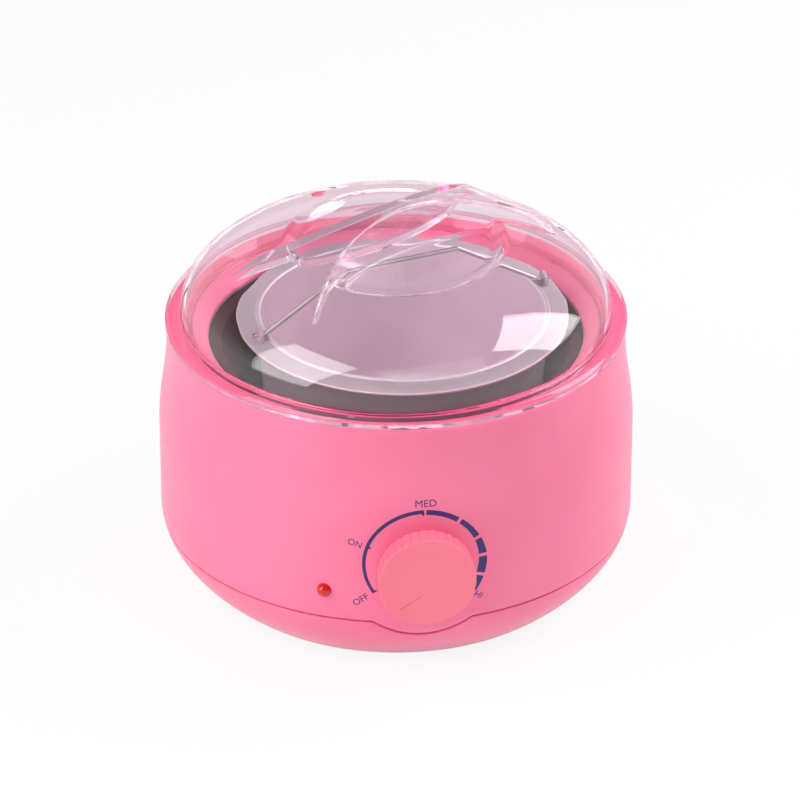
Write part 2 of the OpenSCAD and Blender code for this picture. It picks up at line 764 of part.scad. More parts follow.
module lid() {
    bead = 1.2;
    skirt_in_r = skirt_r - lid_wall;
    brim = [[skirt_in_r, lid_z - skirt_h], [skirt_r, lid_z - skirt_h], [skirt_r, lid_z],
        [lid_r, lid_z], [lid_r, dome_z - bead], [lid_r - bead, dome_z],
        [dome_r - lid_wall - eps, dome_z + eps], [dome_r - lid_wall - eps, dome_z - eps],
        [skirt_in_r, lid_z]];
    color([0.95, 0.85, 0.92, 0.45]) rotate([0, 0, grip_angle]) {
        difference() {
            union() {
                lid_form(0);
                rotate_extrude() polygon(brim);
            }
            lid_form(lid_wall);
            rotate([0, 0, steam_vent_angle]) translate([steam_vent_at_r, 0, dome_z])
                cylinder(r = steam_vent_r, h = dome_h);
        }
    }
}

module thermostat_saddle() {
    color("lightgray") difference() {
        translate([-saddle_w / 2, -saddle_y, saddle_z]) cube([saddle_w, saddle_y - well_r + 4, saddle_h]);
        translate([0, 0, saddle_z - 1]) cylinder(r = well_out_r + run_gap, h = saddle_h + 2);
        for (x = [-1, 1]) translate([x * frame_screw_gap / 2, -saddle_y - 1, frame_screw_z])
            rotate([-90, 0, 0]) cylinder(r = screw_r + thread_gap, h = saddle_t);
    }
}

module thermostat_frame() {
    frame_low_z = knob_z - core_r - frame_t;
    color("silver") difference() {
        translate([-saddle_w / 2, -frame_y, frame_low_z])
            cube([saddle_w, frame_t, saddle_z + saddle_h - frame_low_z]);
        for (x = [-1, 1]) translate([x * frame_screw_gap / 2, -frame_y - 1, frame_screw_z])
            rotate([-90, 0, 0]) cylinder(r = screw_r + pass_gap, h = frame_t + 2);
    }
}

module thermostat_core() {
    color("ivory") difference() {
        facing_front(frame_y, knob_z) cylinder(r = core_r, h = core_l);
        facing_front(shaft_in_y - locate_gap, knob_z)
            cylinder(r = shaft_r + run_gap, h = core_l + 1);
    }
}

module thermostat_terminals() {
    color("gold") for (side = [-1, 1]) difference() {
        translate([side > 0 ? 0 : -core_r - tab_l, -frame_y - core_l / 2, knob_z - tab_w / 2])
            cube([core_r + tab_l, tab_t, tab_w]);
        facing_front(frame_y - 1, knob_z) cylinder(r = core_r, h = core_l + 2);
    }
}

module thermostat_bushing() {
    collar = 1.5;
    color("goldenrod") difference() {
        facing_front(core_y, knob_z) {
            cylinder(r = bushing_r, h = bushing_y - core_y);
            cylinder(r = bushing_r + collar, h = collar);
        }
        facing_front(core_y - 1, knob_z) cylinder(r = shaft_r + run_gap, h = far / 4);
    }
}

module frame_screws() {
    frame_screw_l = frame_t + saddle_t - 2 * tip_gap;
    color("silver") for (x = [-1, 1])
        translate([x * frame_screw_gap / 2, -frame_y, frame_screw_z])
            rotate([-90, 0, 0]) screw(frame_screw_l);
}

// Cross-section of the shaft with its flat turned to the side away from the pointer
module shaft_section(gap) {
    rotate([0, 0, off_angle]) difference() {
        circle(r = shaft_r + gap);
        translate([-far - shaft_r + shaft_flat - gap, -far / 2]) square([far, far]);
    }
}

module thermostat_shaft() {
    flat_l = knob_h - knob_face_t - locate_gap;
    color("lightgray") {
        facing_front(shaft_in_y, knob_z) cylinder(r = shaft_r, h = shaft_out_y - flat_l - shaft_in_y);
        facing_front(shaft_out_y - flat_l - eps, knob_z)
            linear_extrude(height = flat_l + eps) shaft_section(0);
    }
}

module control_knob() {
    rim_back = knob_h - knob_rim_h;
    hollow_h = knob_h - knob_face_t;
    edge = [for (a = [0 : 15 : 90]) [knob_r - knob_edge + knob_edge * cos(a),
        knob_h - knob_edge + knob_edge * sin(a)]];
    color("lightpink") facing_front(knob_back_y, knob_z) difference() {
        union() {
            difference() {
                union() {
                    rotate_extrude() polygon(concat([[0, rim_back], [knob_r, rim_back]], edge,
                        [[0, knob_h]]));
                    cylinder(r = knob_hub_r, h = rim_back + eps);
                }
                translate([0, 0, -eps]) cylinder(r = knob_hub_r - knob_wall, h = hollow_h);
                for (i = [0 : flute_count - 1]) rotate([0, 0, 360 * i / flute_count])
                    translate([knob_r + flute_r / 3, 0, rim_back - 1])
                        cylinder(r = flute_r, h = knob_rim_h + 2);
            }
            cylinder(r = knob_boss_r, h = knob_h - pointer_depth);
        }
        translate([0, 0, -1]) linear_extrude(height = hollow_h + 1) shaft_section(run_gap);
        rotate([0, 0, off_angle])
            translate([pointer_from, pointer_off - pointer_w / 2, knob_h - pointer_depth])
                cube([pointer_l, pointer_w, 2 * pointer_depth]);
    }
}

module indicator_lens() {
    color("red") {
        facing_lens(inner_wall_r - lens_collar_t)
            cylinder(r = lens_collar_r, h = lens_collar_t - locate_gap);
        facing_lens(inner_wall_r - lens_collar_t) cylinder(r = lens_r, h = lens_collar_t + shell_wall);
        facing_lens(body_r) sphere(r = lens_r);
    }
}

module lamp_holder() {
    color("white") difference() {
        facing_lens(inner_wall_r - locate_gap - holder_l) cylinder(r = holder_r, h = holder_l);
        facing_lens(inner_wall_r - locate_gap - holder_l + 2 * holder_wall)
            cylinder(r = lens_collar_r + run_gap, h = holder_l);
        facing_lens(inner_wall_r - holder_l - 2 * holder_wall)
            cylinder(r = lamp_r + run_gap, h = 6 * holder_wall);
    }
}

module neon_lamp() {
    lamp_l = holder_l - 2 * lens_collar_t;
    color("orange") {
        facing_lens(inner_wall_r - locate_gap - holder_l) cylinder(r = lamp_r, h = lamp_l);
        facing_lens(inner_wall_r - locate_gap - holder_l + lamp_l) sphere(r = lamp_r);
    }
}

module thermal_fuse() {
    color("khaki") translate([clamp_r - fuse_inset - fuse_l, -fuse_w / 2, clamp_z - fuse_h])
        cube([fuse_l, fuse_w, fuse_h]);
}

module terminal_block() {
    pitch = block_l / 3;
    color("whitesmoke") difference() {
        translate([-block_l / 2, block_y - block_w / 2, floor_top_z]) cube([block_l, block_w, block_h]);
        for (i = [-1 : 1]) {
            translate([i * pitch, block_y - block_w, floor_top_z + block_h / 3])
                rotate([-90, 0, 0]) cylinder(r = wire_hole_r, h = 2 * block_w);
            translate([i * pitch, block_y, floor_top_z + block_h / 3])
                cylinder(r = terminal_screw_r + run_gap, h = block_h);
        }
    }
}

module terminal_screws() {
    pitch = block_l / 3;
    slot_w = 0.8;
    top_z = floor_top_z + block_h - tip_gap;
    low_z = floor_top_z + block_h / 3 + wire_hole_r;
    color("gold") for (i = [-1 : 1]) translate([i * pitch, block_y, 0]) difference() {
        translate([0, 0, low_z]) cylinder(r = terminal_screw_r, h = top_z - low_z);
        translate([-block_w / 2, -slot_w / 2, top_z - slot_w]) cube([block_w, slot_w, 2 * slot_w]);
    }
}

module cord_clamp() {
    color("white") difference() {
        translate([-cord_screw_x - boss_r, cord_clamp_y - cord_bar_w / 2, floor_top_z + cord_clamp_h])
            cube([2 * (cord_screw_x + boss_r), cord_bar_w, cord_bar_t]);
        for (x = [-1, 1]) translate([x * cord_screw_x, cord_clamp_y, floor_top_z])
            cylinder(r = screw_r + pass_gap, h = far / 4);
    }
}

module cord_clamp_screws() {
    color("silver") for (x = [-1, 1])
        translate([x * cord_screw_x, cord_clamp_y, floor_top_z + cord_clamp_h + cord_bar_t])
            rotate([180, 0, 0]) screw(cord_bar_t + cord_clamp_h - tip_gap);
}

module cord_inlet() {
    barb_t = 3;
    barb_w = 1;
    flange_draft = 1.5;
    // The bore grips the lead in the flange only and opens a little inside the barrel
    relief = 0.5;
    relief_past_wall = 0.4;
    inner_y = inner_wall_r - locate_gap - barb_t;
    outer_y = body_r + seat_gap;
    color("palevioletred") difference() {
        union() {
            facing_back(inner_y, inlet_z) cylinder(r = inlet_barrel_r, h = outer_y - inner_y + eps);
            facing_back(inner_y, inlet_z) cylinder(r = inlet_barrel_r + barb_w, h = barb_t - locate_gap);
            facing_back(outer_y, inlet_z)
                cylinder(r1 = inlet_flange_r, r2 = inlet_flange_r - flange_draft, h = inlet_flange_t);
        }
        facing_back(inner_y - 1, inlet_z) cylinder(r = inlet_bore_r, h = far / 4);
        facing_back(inner_y - 1, inlet_z)
            cylinder(r = inlet_bore_r + relief, h = outer_y + relief_past_wall - inner_y + 1);
    }
}

lid();
outer_housing();
funnel_ring();
screw_bosses();
base_pan();
rubber_feet();
base_screws();
chamber_gasket();
heating_chamber();
heater_plate();
heater_clamp_plate();
clamp_nut();
heat_shield();
support_posts();
post_screws();
inner_pot();
pot_bail();
thermostat_saddle();
thermostat_frame();
thermostat_core();
thermostat_terminals();
thermostat_bushing();
frame_screws();
thermostat_shaft();
control_knob();
indicator_lens();
lamp_holder();
neon_lamp();
thermal_fuse();
terminal_block();
terminal_screws();
cord_clamp();
cord_clamp_screws();
cord_inlet();
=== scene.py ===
# %% [markdown]
# # A depilatory wax heater
# The heater is a pink bowl with a lift-out aluminium pot under a clear lid, and a dial on its front.
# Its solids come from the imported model, which Blender loads as a fixed frame: every node already stands
# where it belongs, in metres. This lesson keeps the inner parts and gives them real finishes, and it
# rebuilds the parts that the eye rests on, with the soft edges of moulded plastic and spun metal.

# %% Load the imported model
import math

import bmesh
import bpy
import numpy as np
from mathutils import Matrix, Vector


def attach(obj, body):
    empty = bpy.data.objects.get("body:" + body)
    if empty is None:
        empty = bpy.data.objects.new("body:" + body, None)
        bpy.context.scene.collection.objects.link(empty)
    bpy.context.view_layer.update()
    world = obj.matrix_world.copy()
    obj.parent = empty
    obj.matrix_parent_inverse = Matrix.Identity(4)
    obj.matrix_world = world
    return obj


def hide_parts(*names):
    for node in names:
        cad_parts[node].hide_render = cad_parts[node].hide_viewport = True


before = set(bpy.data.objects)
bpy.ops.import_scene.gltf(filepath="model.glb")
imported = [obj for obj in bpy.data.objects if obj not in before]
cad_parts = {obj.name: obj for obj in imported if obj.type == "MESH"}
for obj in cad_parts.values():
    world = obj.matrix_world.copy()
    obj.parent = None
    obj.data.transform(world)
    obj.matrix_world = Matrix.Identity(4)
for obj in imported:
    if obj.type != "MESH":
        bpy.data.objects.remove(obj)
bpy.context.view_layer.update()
MM = 0.001

# %% [markdown]
# The camera comes first, because everything after it is seen through it. The picture was
# taken from a little above, and the sides of the bowl hardly converge, so the lens is long and the camera
# far away. The dial stands a little to the right of the middle, so the camera is a few degrees to the left.
# Lamps and camera are placed in the same way, by two angles and a distance from one point of the object,
# because that is how a photographer speaks of them.

# %% Place the camera
LOOK_AT = Vector((0.00149, -0.00017, 0.06962))
CAMERA_AROUND, CAMERA_ABOVE, CAMERA_AWAY = -96.5, 29.04, 2.0
CAMERA_LENS, CAMERA_FILM = 236.8, 36.0


def direction(azimuth, elevation):
    a, e = math.radians(azimuth), math.radians(elevation)
    return Vector((math.cos(a) * math.cos(e), math.sin(a) * math.cos(e), math.sin(e)))


def aim(obj, azimuth, elevation, distance):
    away = direction(azimuth, elevation)
    obj.location = LOOK_AT + away * distance
    obj.rotation_euler = away.to_track_quat("Z", "Y").to_euler()
    bpy.context.collection.objects.link(obj)


camera_data = bpy.data.cameras.new("camera")
camera_data.lens = CAMERA_LENS
camera_data.sensor_width = CAMERA_FILM
camera_data.clip_end = 20.0
camera = bpy.data.objects.new("camera", camera_data)
aim(camera, CAMERA_AROUND, CAMERA_ABOVE, CAMERA_AWAY)
bpy.context.scene.camera = camera
print("camera at", tuple(round(v, 3) for v in camera.location))

# %% [markdown]
# The light is that of a small product studio: two soft boxes, left and right, whose pale rectangles show
# in the lid, and a wide soft fill from the camera's side. A sun lamp would be simpler, but it gives a hard
# spot where the photograph has rectangles, so area lamps are used. The fill is kept out of reflections. A
# lamp's power is worked out from how bright its face should be, so its size can change freely.

# %% Light the studio
bpy.context.scene.view_settings.view_transform = "Standard"


def soft_box(name, azimuth, elevation, distance, width, height, radiance):
    lamp = bpy.data.lights.new(name, "AREA")
    lamp.shape = "RECTANGLE"
    lamp.size = width
    lamp.size_y = height
    lamp.energy = radiance * math.pi * width * height
    box = bpy.data.objects.new(name, lamp)
    aim(box, azimuth, elevation, distance)
    box.visible_camera = False
    return box


soft_box("left_soft_box", -156.5, 35.0, 0.95, 0.6, 1.0, 3.2)
soft_box("right_soft_box", 7.7, 40.7, 0.95, 0.5, 0.66, 4.5)
front_fill = soft_box("front_fill", -70.0, 50.0, 1.6, 1.3, 0.9, 1.2)
front_fill.visible_glossy = False

# %% [markdown]
# Room, floor and lid need the same three pieces of node tree. The first tells backdrop rays apart: those
# that come from the camera, from a mirror-like surface or through clear plastic. The second maps one range
# of numbers onto another, and the third mixes two shaders.

# %% Helpers for rays and ranges


def backdrop_rays(tree):
    path = tree.nodes.new("ShaderNodeLightPath")
    seen = path.outputs["Is Camera Ray"]
    for kind in ("Is Glossy Ray", "Is Transmission Ray"):
        either = tree.nodes.new("ShaderNodeMath")
        either.operation = "MAXIMUM"
        tree.links.new(seen, either.inputs[0])
        tree.links.new(path.outputs[kind], either.inputs[1])
        seen = either.outputs[0]
    return seen


def ranged(tree, value, low, high, out_low, out_high, socket):
    node = tree.nodes.new("ShaderNodeMapRange")
    ends = {"From Min": low, "From Max": high, "To Min": out_low, "To Max": out_high}
    for label, number in ends.items():
        node.inputs[label].default_value = number
    tree.links.new(value, node.inputs["Value"])
    tree.links.new(node.outputs["Result"], socket)


def mixed_shader(tree, share, first, second, output):
    mix = tree.nodes.new("ShaderNodeMixShader")
    tree.links.new(share, mix.inputs[0])
    tree.links.new(first.outputs[0], mix.inputs[1])
    tree.links.new(second.outputs[0], mix.inputs[2])
    tree.links.new(mix.outputs[0], output.inputs["Surface"])


print("ray helpers ready for", bpy.context.scene.name)

# %% [markdown]
# The room is the world round the lamps. It is white to the camera, in reflections and through the clear
# lid, and a darker ceiling keeps the lid from turning milky. As a light it stays gentle, so the white
# backdrop never washes out the plastic.

# %% The white room
ROOM_LIGHT, CEILING = 0.45, 0.25
FADE_FROM, FADE_TO = 0.15, 0.6
WHITE = (1, 1, 1, 1)
world = bpy.data.worlds.new("studio_room")
bpy.context.scene.world = world
world.use_nodes = True
room = world.node_tree
room.nodes.clear()
gentle = room.nodes.new("ShaderNodeBackground")
gentle.inputs["Color"].default_value = WHITE
gentle.inputs["Strength"].default_value = ROOM_LIGHT
backdrop = room.nodes.new("ShaderNodeBackground")
backdrop.inputs["Color"].default_value = WHITE
sky = room.nodes.new("ShaderNodeSeparateXYZ")
room.links.new(room.nodes.new("ShaderNodeTexCoord").outputs["Generated"], sky.inputs[0])
ranged(room, sky.outputs["Z"], FADE_FROM, FADE_TO, 1.0, CEILING, backdrop.inputs["Strength"])
mixed_shader(room, backdrop_rays(room), gentle, backdrop, room.nodes.new("ShaderNodeOutputWorld"))
print("room light", ROOM_LIGHT, "with", len(room.nodes), "nodes")

# %% [markdown]
# The floor is a wide white sheet. Lighting it to pure white would need far more light on the bowl, so most
# of what the camera sees of it glows plain white, and a small share is the lit sheet itself, which keeps
# a faint shadow under the bowl.

# %% Lay the floor
FLOOR_HALF, FLOOR_Z, WHITE_SHARE = 4.0, -0.0004, 0.88
corners = [(x * FLOOR_HALF, y * FLOOR_HALF, FLOOR_Z) for x, y in ((-1, -1), (1, -1), (1, 1), (-1, 1))]
floor_mesh = bpy.data.meshes.new("floor")
floor_mesh.from_pydata(corners, [], [(0, 1, 2, 3)])
floor = bpy.data.objects.new("floor", floor_mesh)
bpy.context.collection.objects.link(floor)
paper = bpy.data.materials.new("studio_paper")
paper.use_nodes = True
sheet = paper.node_tree
sheet.nodes.clear()
lit = sheet.nodes.new("ShaderNodeBsdfDiffuse")
lit.inputs["Color"].default_value = (0.9, 0.9, 0.9, 1)
glow = sheet.nodes.new("ShaderNodeEmission")
glow.inputs["Color"].default_value = WHITE
share = sheet.nodes.new("ShaderNodeMath")
share.operation = "MULTIPLY"
share.inputs[1].default_value = WHITE_SHARE
sheet.links.new(backdrop_rays(sheet), share.inputs[0])
mixed_shader(sheet, share.outputs[0], lit, glow, sheet.nodes.new("ShaderNodeOutputMaterial"))
floor_mesh.materials.append(paper)
print("floor laid at", floor_mesh.vertices[0].co.z)

# %% [markdown]
# Every finish below starts from the same bricks: a new material, and a noise in Object coordinates. These
# are in metres here, so a noise of scale 1000 has grains about a millimetre wide. An image could carry the
# detail too, but a noise stays sharp at any distance. Colours are written as a screen shows them, from 0 to
# 255, and turned into the linear values that light adds up in.

# %% Bricks for the finishes


def srgb(red, green, blue):
    parts = []
    for value in (red, green, blue):
        v = value / 255
        parts.append(v / 12.92 if v <= 0.04045 else ((v + 0.055) / 1.055) ** 2.4)
    return (*parts, 1.0)


def new_finish(name):
    finish = bpy.data.materials.new(name)
    finish.use_nodes = True
    tree = finish.node_tree
    place = tree.nodes.new("ShaderNodeTexCoord").outputs["Object"]
    return finish, tree, tree.nodes["Principled BSDF"], place


def noise(tree, place, scale, detail=2.0):
    node = tree.nodes.new("ShaderNodeTexNoise")
    node.inputs["Scale"].default_value = scale
    node.inputs["Detail"].default_value = detail
    tree.links.new(place, node.inputs["Vector"])
    return node.outputs["Fac"]


print("mid grey 128 is written as", round(srgb(128, 128, 128)[0], 4))

# %% [markdown]
# Three more bricks turn a noise into something that shows: a ramp makes it a colour, a range makes it a
# roughness, and a bump makes it a fine relief. A noise seldom leaves the middle of its range, so ramp and
# range run over that part alone.

# %% Colour, polish and relief from a noise
NOISE_LOW, NOISE_HIGH = 0.3, 0.7


def tint(tree, value, dark, light, socket):
    ramp = tree.nodes.new("ShaderNodeValToRGB")
    ramp.color_ramp.elements[0].position = NOISE_LOW
    ramp.color_ramp.elements[0].color = dark
    ramp.color_ramp.elements[1].position = NOISE_HIGH
    ramp.color_ramp.elements[1].color = light
    tree.links.new(value, ramp.inputs["Fac"])
    tree.links.new(ramp.outputs["Color"], socket)


def spread(tree, value, low, high, socket):
    ranged(tree, value, NOISE_LOW, NOISE_HIGH, low, high, socket)


def emboss(tree, value, strength, depth, shader):
    node = tree.nodes.new("ShaderNodeBump")
    node.inputs["Strength"].default_value = strength
    node.inputs["Distance"].default_value = depth
    tree.links.new(value, node.inputs["Height"])
    tree.links.new(node.outputs["Normal"], shader.inputs["Normal"])


print("noise is used from", NOISE_LOW, "to", NOISE_HIGH)

# %% [markdown]
# Most of the heater is moulded plastic. Where the melt flowed its colour has a faint mottle, its polish is
# uneven, and its skin has a fine grain. One colour alone would look like paint, so one function gives all
# three to every plastic, and only the colours, the polish and the grain differ.

# %% Moulded plastic
MOTTLE, POLISH, SKIN = 22.0, 130.0, 0.25


def moulded(name, dark, light, rough_low, rough_high, grain_scale, grain_depth):
    finish, tree, shader, place = new_finish(name)
    tint(tree, noise(tree, place, MOTTLE), dark, light, shader.inputs["Base Color"])
    spread(tree, noise(tree, place, POLISH), rough_low, rough_high, shader.inputs["Roughness"])
    emboss(tree, noise(tree, place, grain_scale), SKIN, grain_depth, shader)
    return finish, shader


print("mottle about", round(1000 / MOTTLE), "mm wide, polish", round(1000 / POLISH), "mm")

# %% [markdown]
# Every piece ends as a mesh of points and faces, worked out in millimetres and stored in metres. Its signed
# volume tells whether the faces look outwards, and if it is negative they are turned round. All but the
# sharp corners are shaded smooth.

# %% From points to a piece
SHARP = 33.0


def add_piece(name, mesh, finish):
    piece = bpy.data.objects.new(name, mesh)
    bpy.context.collection.objects.link(piece)
    mesh.materials.clear()
    mesh.materials.append(finish)
    return piece


def smooth_shade(mesh, angle=SHARP):
    mesh.polygons.foreach_set("use_smooth", [True] * len(mesh.polygons))
    mesh.set_sharp_from_angle(angle=math.radians(angle))


def mesh_from(name, points, faces):
    mesh = bpy.data.meshes.new(name)
    mesh.from_pydata([tuple(p) for p in np.asarray(points) * MM], [], faces)
    work = bmesh.new()
    work.from_mesh(mesh)
    if work.calc_volume(signed=True) < 0:
        bmesh.ops.reverse_faces(work, faces=work.faces)
    work.to_mesh(mesh)
    work.free()
    smooth_shade(mesh)
    return mesh


print("corners sharper than", SHARP, "degrees stay sharp")

# %% [markdown]
# Most of the round parts are rings of points joined by quads. The Screw modifier would turn a profile just
# as well, but only into a true circle, and several rings here follow the bow of a parting line. A ring
# that shrinks to a point becomes a pole of triangles.

# %% Rings joined by quads


def ring_faces(rings, loop):
    pairs = list(zip(rings, rings[1:]))
    if loop:
        pairs.append((rings[-1], rings[0]))
    faces = []
    for a, b in pairs:
        n = max(len(a), len(b))
        for i in range(n):
            j = (i + 1) % n
            if len(a) == 1:
                faces.append((a[0], b[j], b[i]))
            elif len(b) == 1:
                faces.append((a[i], a[j], b[0]))
            else:
                faces.append((a[i], a[j], b[j], b[i]))
    return faces


def mesh_of_rings(name, rows, loop=False):
    points, rings = [], []
    for row in rows:
        row = np.asarray(row, float)
        pole = np.ptp(row, axis=0).max() < 1e-7
        count = 1 if pole else len(row)
        rings.append(list(range(len(points), len(points) + count)))
        points.extend(row[:count])
    return mesh_from(name, points, ring_faces(rings, loop))


print("two rings of four points give", len(ring_faces([[0, 1, 2, 3], [4, 5, 6, 7]], False)), "quads")

# %% [markdown]
# A moulded or spun part has no truly sharp corner. This helper replaces each corner of a profile, given as
# radius, height and fillet, with a small arc, as a mould maker would, so that every edge catches a line of
# light. A Bevel modifier rounds a finished mesh, but here each corner has a radius of its own.

# %% Rounded profiles


def rounded(corners, steps=5):
    path = []
    for i, (r, z, fillet) in enumerate(corners):
        here = np.array((r, z), float)
        if fillet <= 0 or i in (0, len(corners) - 1):
            path.append(here)
            continue
        back = np.array(corners[i - 1][:2], float) - here
        on = np.array(corners[i + 1][:2], float) - here
        back /= np.linalg.norm(back)
        on /= np.linalg.norm(on)
        half = math.acos(max(-1.0, min(1.0, float(back @ on)))) / 2
        run = fillet / math.tan(half)
        middle = (back + on) / np.linalg.norm(back + on)
        centre = here + middle * fillet / math.sin(half)
        start, end = here + back * run - centre, here + on * run - centre
        for k in range(steps + 1):
            mix = start * (1 - k / steps) + end * (k / steps)
            path.append(centre + mix / np.linalg.norm(mix) * fillet)
    return path


print("a rounded corner has", len(rounded([(0, 0, 0), (1, 0, 0.2), (1, 1, 0)])) - 2, "points")

# %% [markdown]
# The bowl's outside is one soft curve: a parabola rises from the standing rim, the side is upright, and a
# slow cosine draws in to the neck. The shell and the base pan share that curve and meet at a parting line
# that bows down under the dial. Both are built as rings whose columns stand closer together at the front,
# so that the corners of the bow stay crisp.

# %% The shared outside of shell and base
BODY_R, FOOT_R, NECK_R = 90.0, 69.9, 86.6
BOWL_H, NECK_FROM, NECK_TO, LIP_Z = 30.0, 64.0, 100.0, 105.0
PART_Z, BOW_W, BOW_DROP = 25.4, 37.0, 6.8
WALL, EASE_TO = 2.4, 24.0


def wall_r(z):
    z = np.asarray(z, float)
    bowl = FOOT_R + (BODY_R - FOOT_R) * (1 - (1 - np.clip(z, 0, BOWL_H) / BOWL_H) ** 2)
    turn = np.clip((z - NECK_FROM) / (NECK_TO - NECK_FROM), 0, 1)
    return bowl - (BODY_R - NECK_R) * (1 - np.cos(math.pi * turn)) / 2


bow_edge = math.degrees(math.asin(BOW_W / 2 / float(wall_r(PART_Z))))
front_fine = np.linspace(-bow_edge, bow_edge, 61)
front_ease = np.linspace(bow_edge, EASE_TO, 15)[1:]
around_back = np.linspace(EASE_TO, 360 - EASE_TO, 225)[1:-1]
columns = np.radians(np.concatenate([front_fine, front_ease, around_back, np.sort(-front_ease)]))
bow = BOW_DROP * np.clip(1 - (np.sin(columns) * float(wall_r(PART_Z)) / (BOW_W / 2)) ** 2, 0, None)
bow[np.cos(columns) < 0] = 0


def ring_at(r, z):
    r = np.broadcast_to(np.asarray(r, float), columns.shape)
    z = np.broadcast_to(np.asarray(z, float), columns.shape)
    return np.stack([r * np.sin(columns), -r * np.cos(columns), z], axis=1)


print(len(columns), "columns round the body; bow half angle", round(bow_edge, 2))

# %% [markdown]
# The pink is a glossy moulded plastic that lets a little light in under its skin, which warms the grooves.
# A faint mottle, an uneven polish and a barely wavy skin keep it from looking like flat paint.

# %% Pink shell plastic
pink, pink_shader = moulded(
    "pink_shell_plastic", srgb(248, 124, 160), srgb(251, 131, 167), 0.3, 0.36, 420.0, 0.00003)
pink_shader.inputs["IOR"].default_value = 1.33
pink_shader.inputs["Subsurface Weight"].default_value = 0.12
pink_shader.inputs["Subsurface Radius"].default_value = (1.0, 0.25, 0.35)
pink_shader.inputs["Subsurface Scale"].default_value = 0.004
print("finish:", pink.name)

# %% [markdown]
# The shell runs up from the parting line to the neck, over the flat lip that the lid rests on, down the
# funnel, and back down its inner wall. Rows near the parting line follow the bow. The lip and the funnel
# get small radii, because those edges catch the light through the lid.

# %% Shell with lip and funnel
EDGE = 0.8


def shell_ring(inset, z):
    low = np.clip((BOWL_H - z) / (BOWL_H - PART_Z), 0, 1)
    height = z - bow * low
    return ring_at(wall_r(height) - inset, height)


def edge_arc(fillet, steps=4):
    turns = np.linspace(0, math.pi / 2, steps + 1)
    return [(fillet * (1 - math.sin(a)), fillet * (1 - math.cos(a))) for a in turns]


shell_rows = [shell_ring(inset, PART_Z + up) for inset, up in edge_arc(EDGE)]
shell_rows += [shell_ring(0, z) for z in np.linspace(PART_Z + EDGE, BOWL_H, 7)[1:]]
shell_rows += [shell_ring(0, z) for z in np.linspace(BOWL_H, NECK_FROM, 9)[1:]]
shell_rows += [shell_ring(0, z) for z in np.linspace(NECK_FROM, NECK_TO, 25)[1:]]
lip = rounded([(NECK_R, 101.0, 0), (NECK_R, LIP_Z, 1.3), (80.2, LIP_Z, 0.7), (79.2, 102.5, 1.4),
               (70.8, 99.4, 0.9), (70.8, 97.4, 0.4), (75.5, 97.4, 0.4), (80.2, 100.5, 0.5),
               (82.2, 103.0, 0.4), (84.2, 103.0, 0.5), (84.2, 101.5, 0)], steps=6)
shell_rows += [ring_at(r, z) for r, z in lip]
shell_rows += [shell_ring(WALL, z) for z in np.linspace(NECK_TO, NECK_FROM, 19)]
shell_rows += [shell_ring(WALL, z) for z in np.linspace(NECK_FROM, BOWL_H, 5)[1:]]
shell_rows += [shell_ring(WALL, z) for z in np.linspace(BOWL_H, PART_Z, 5)[1:]]
shell_mesh = mesh_of_rings("pink_shell", shell_rows, loop=True)
pink_shell = add_piece("pink_shell", shell_mesh, pink)
print("shell:", len(shell_mesh.polygons), "faces")

# %% [markdown]
# Holes are drilled with short rods, and bosses are rods too. A rod is four rings, two of them shrunk to
# points. Several rods are joined into one mesh, so that each cut is made once.

# %% Rods for cutting


def rod(start, end, radius, sides=48):
    start, end = np.asarray(start, float), np.asarray(end, float)
    along = (end - start) / np.linalg.norm(end - start)
    side = np.cross(along, (0.0, 0.0, 1.0) if abs(along[2]) < 0.9 else (1.0, 0.0, 0.0))
    side /= np.linalg.norm(side)
    up = np.cross(along, side)
    turns = np.linspace(0, 2 * math.pi, sides, endpoint=False)
    circle = radius * (np.outer(np.cos(turns), side) + np.outer(np.sin(turns), up))
    return mesh_of_rings("rod", [start + circle * 0, start + circle, end + circle, end + circle * 0])


def joined(name, meshes):
    work = bmesh.new()
    for mesh in meshes:
        work.from_mesh(mesh)
    whole = bpy.data.meshes.new(name)
    work.to_mesh(whole)
    work.free()
    return whole


print("a cutting rod has", len(rod((0, 0, 0), (0, 0, 1), 1).polygons), "faces")

# %% [markdown]
# The cut itself is a Boolean modifier. Faces could be left out of the rings by hand, but then every hole
# would need a pattern of quads of its own. The result is read back as a plain mesh, the modifier goes, and
# the piece keeps its one finish.

# %% Cut and read back


def baked(piece):
    mesh = bpy.data.meshes.new_from_object(piece.evaluated_get(bpy.context.evaluated_depsgraph_get()))
    mesh.name = piece.name
    piece.modifiers.clear()
    piece.data = mesh
    return mesh


def carve(piece, operation, tools):
    tool = bpy.data.objects.new("tool", joined("tool", tools))
    bpy.context.collection.objects.link(tool)
    step = piece.modifiers.new("carve", "BOOLEAN")
    step.operation = operation
    step.solver = "EXACT"
    step.object = tool
    mesh = baked(piece)
    bpy.data.objects.remove(tool)
    finish = mesh.materials[0]
    mesh.materials.clear()
    mesh.materials.append(finish)
    mesh.polygons.foreach_set("material_index", [0] * len(mesh.polygons))
    smooth_shade(mesh)


print("cutting tools ready for", pink_shell.name)

# %% [markdown]
# The shell has three holes: one for the dial's shaft and one for the indicator at the front, and one for
# the cord inlet at the back. Each is drilled along the radius, from inside the wall to outside it.

# %% Cut the shell's holes
KNOB_Z, SHAFT_HOLE_R = 50.0, 4.2
LENS_AT, LENS_Z, LENS_HOLE_R = -90.0 - 23.6, 37.4, 2.7
INLET_Z, INLET_HOLE_R = 38.0, 5.95


def at_angle(azimuth, r, z):
    a = math.radians(azimuth)
    return (r * math.cos(a), r * math.sin(a), z)


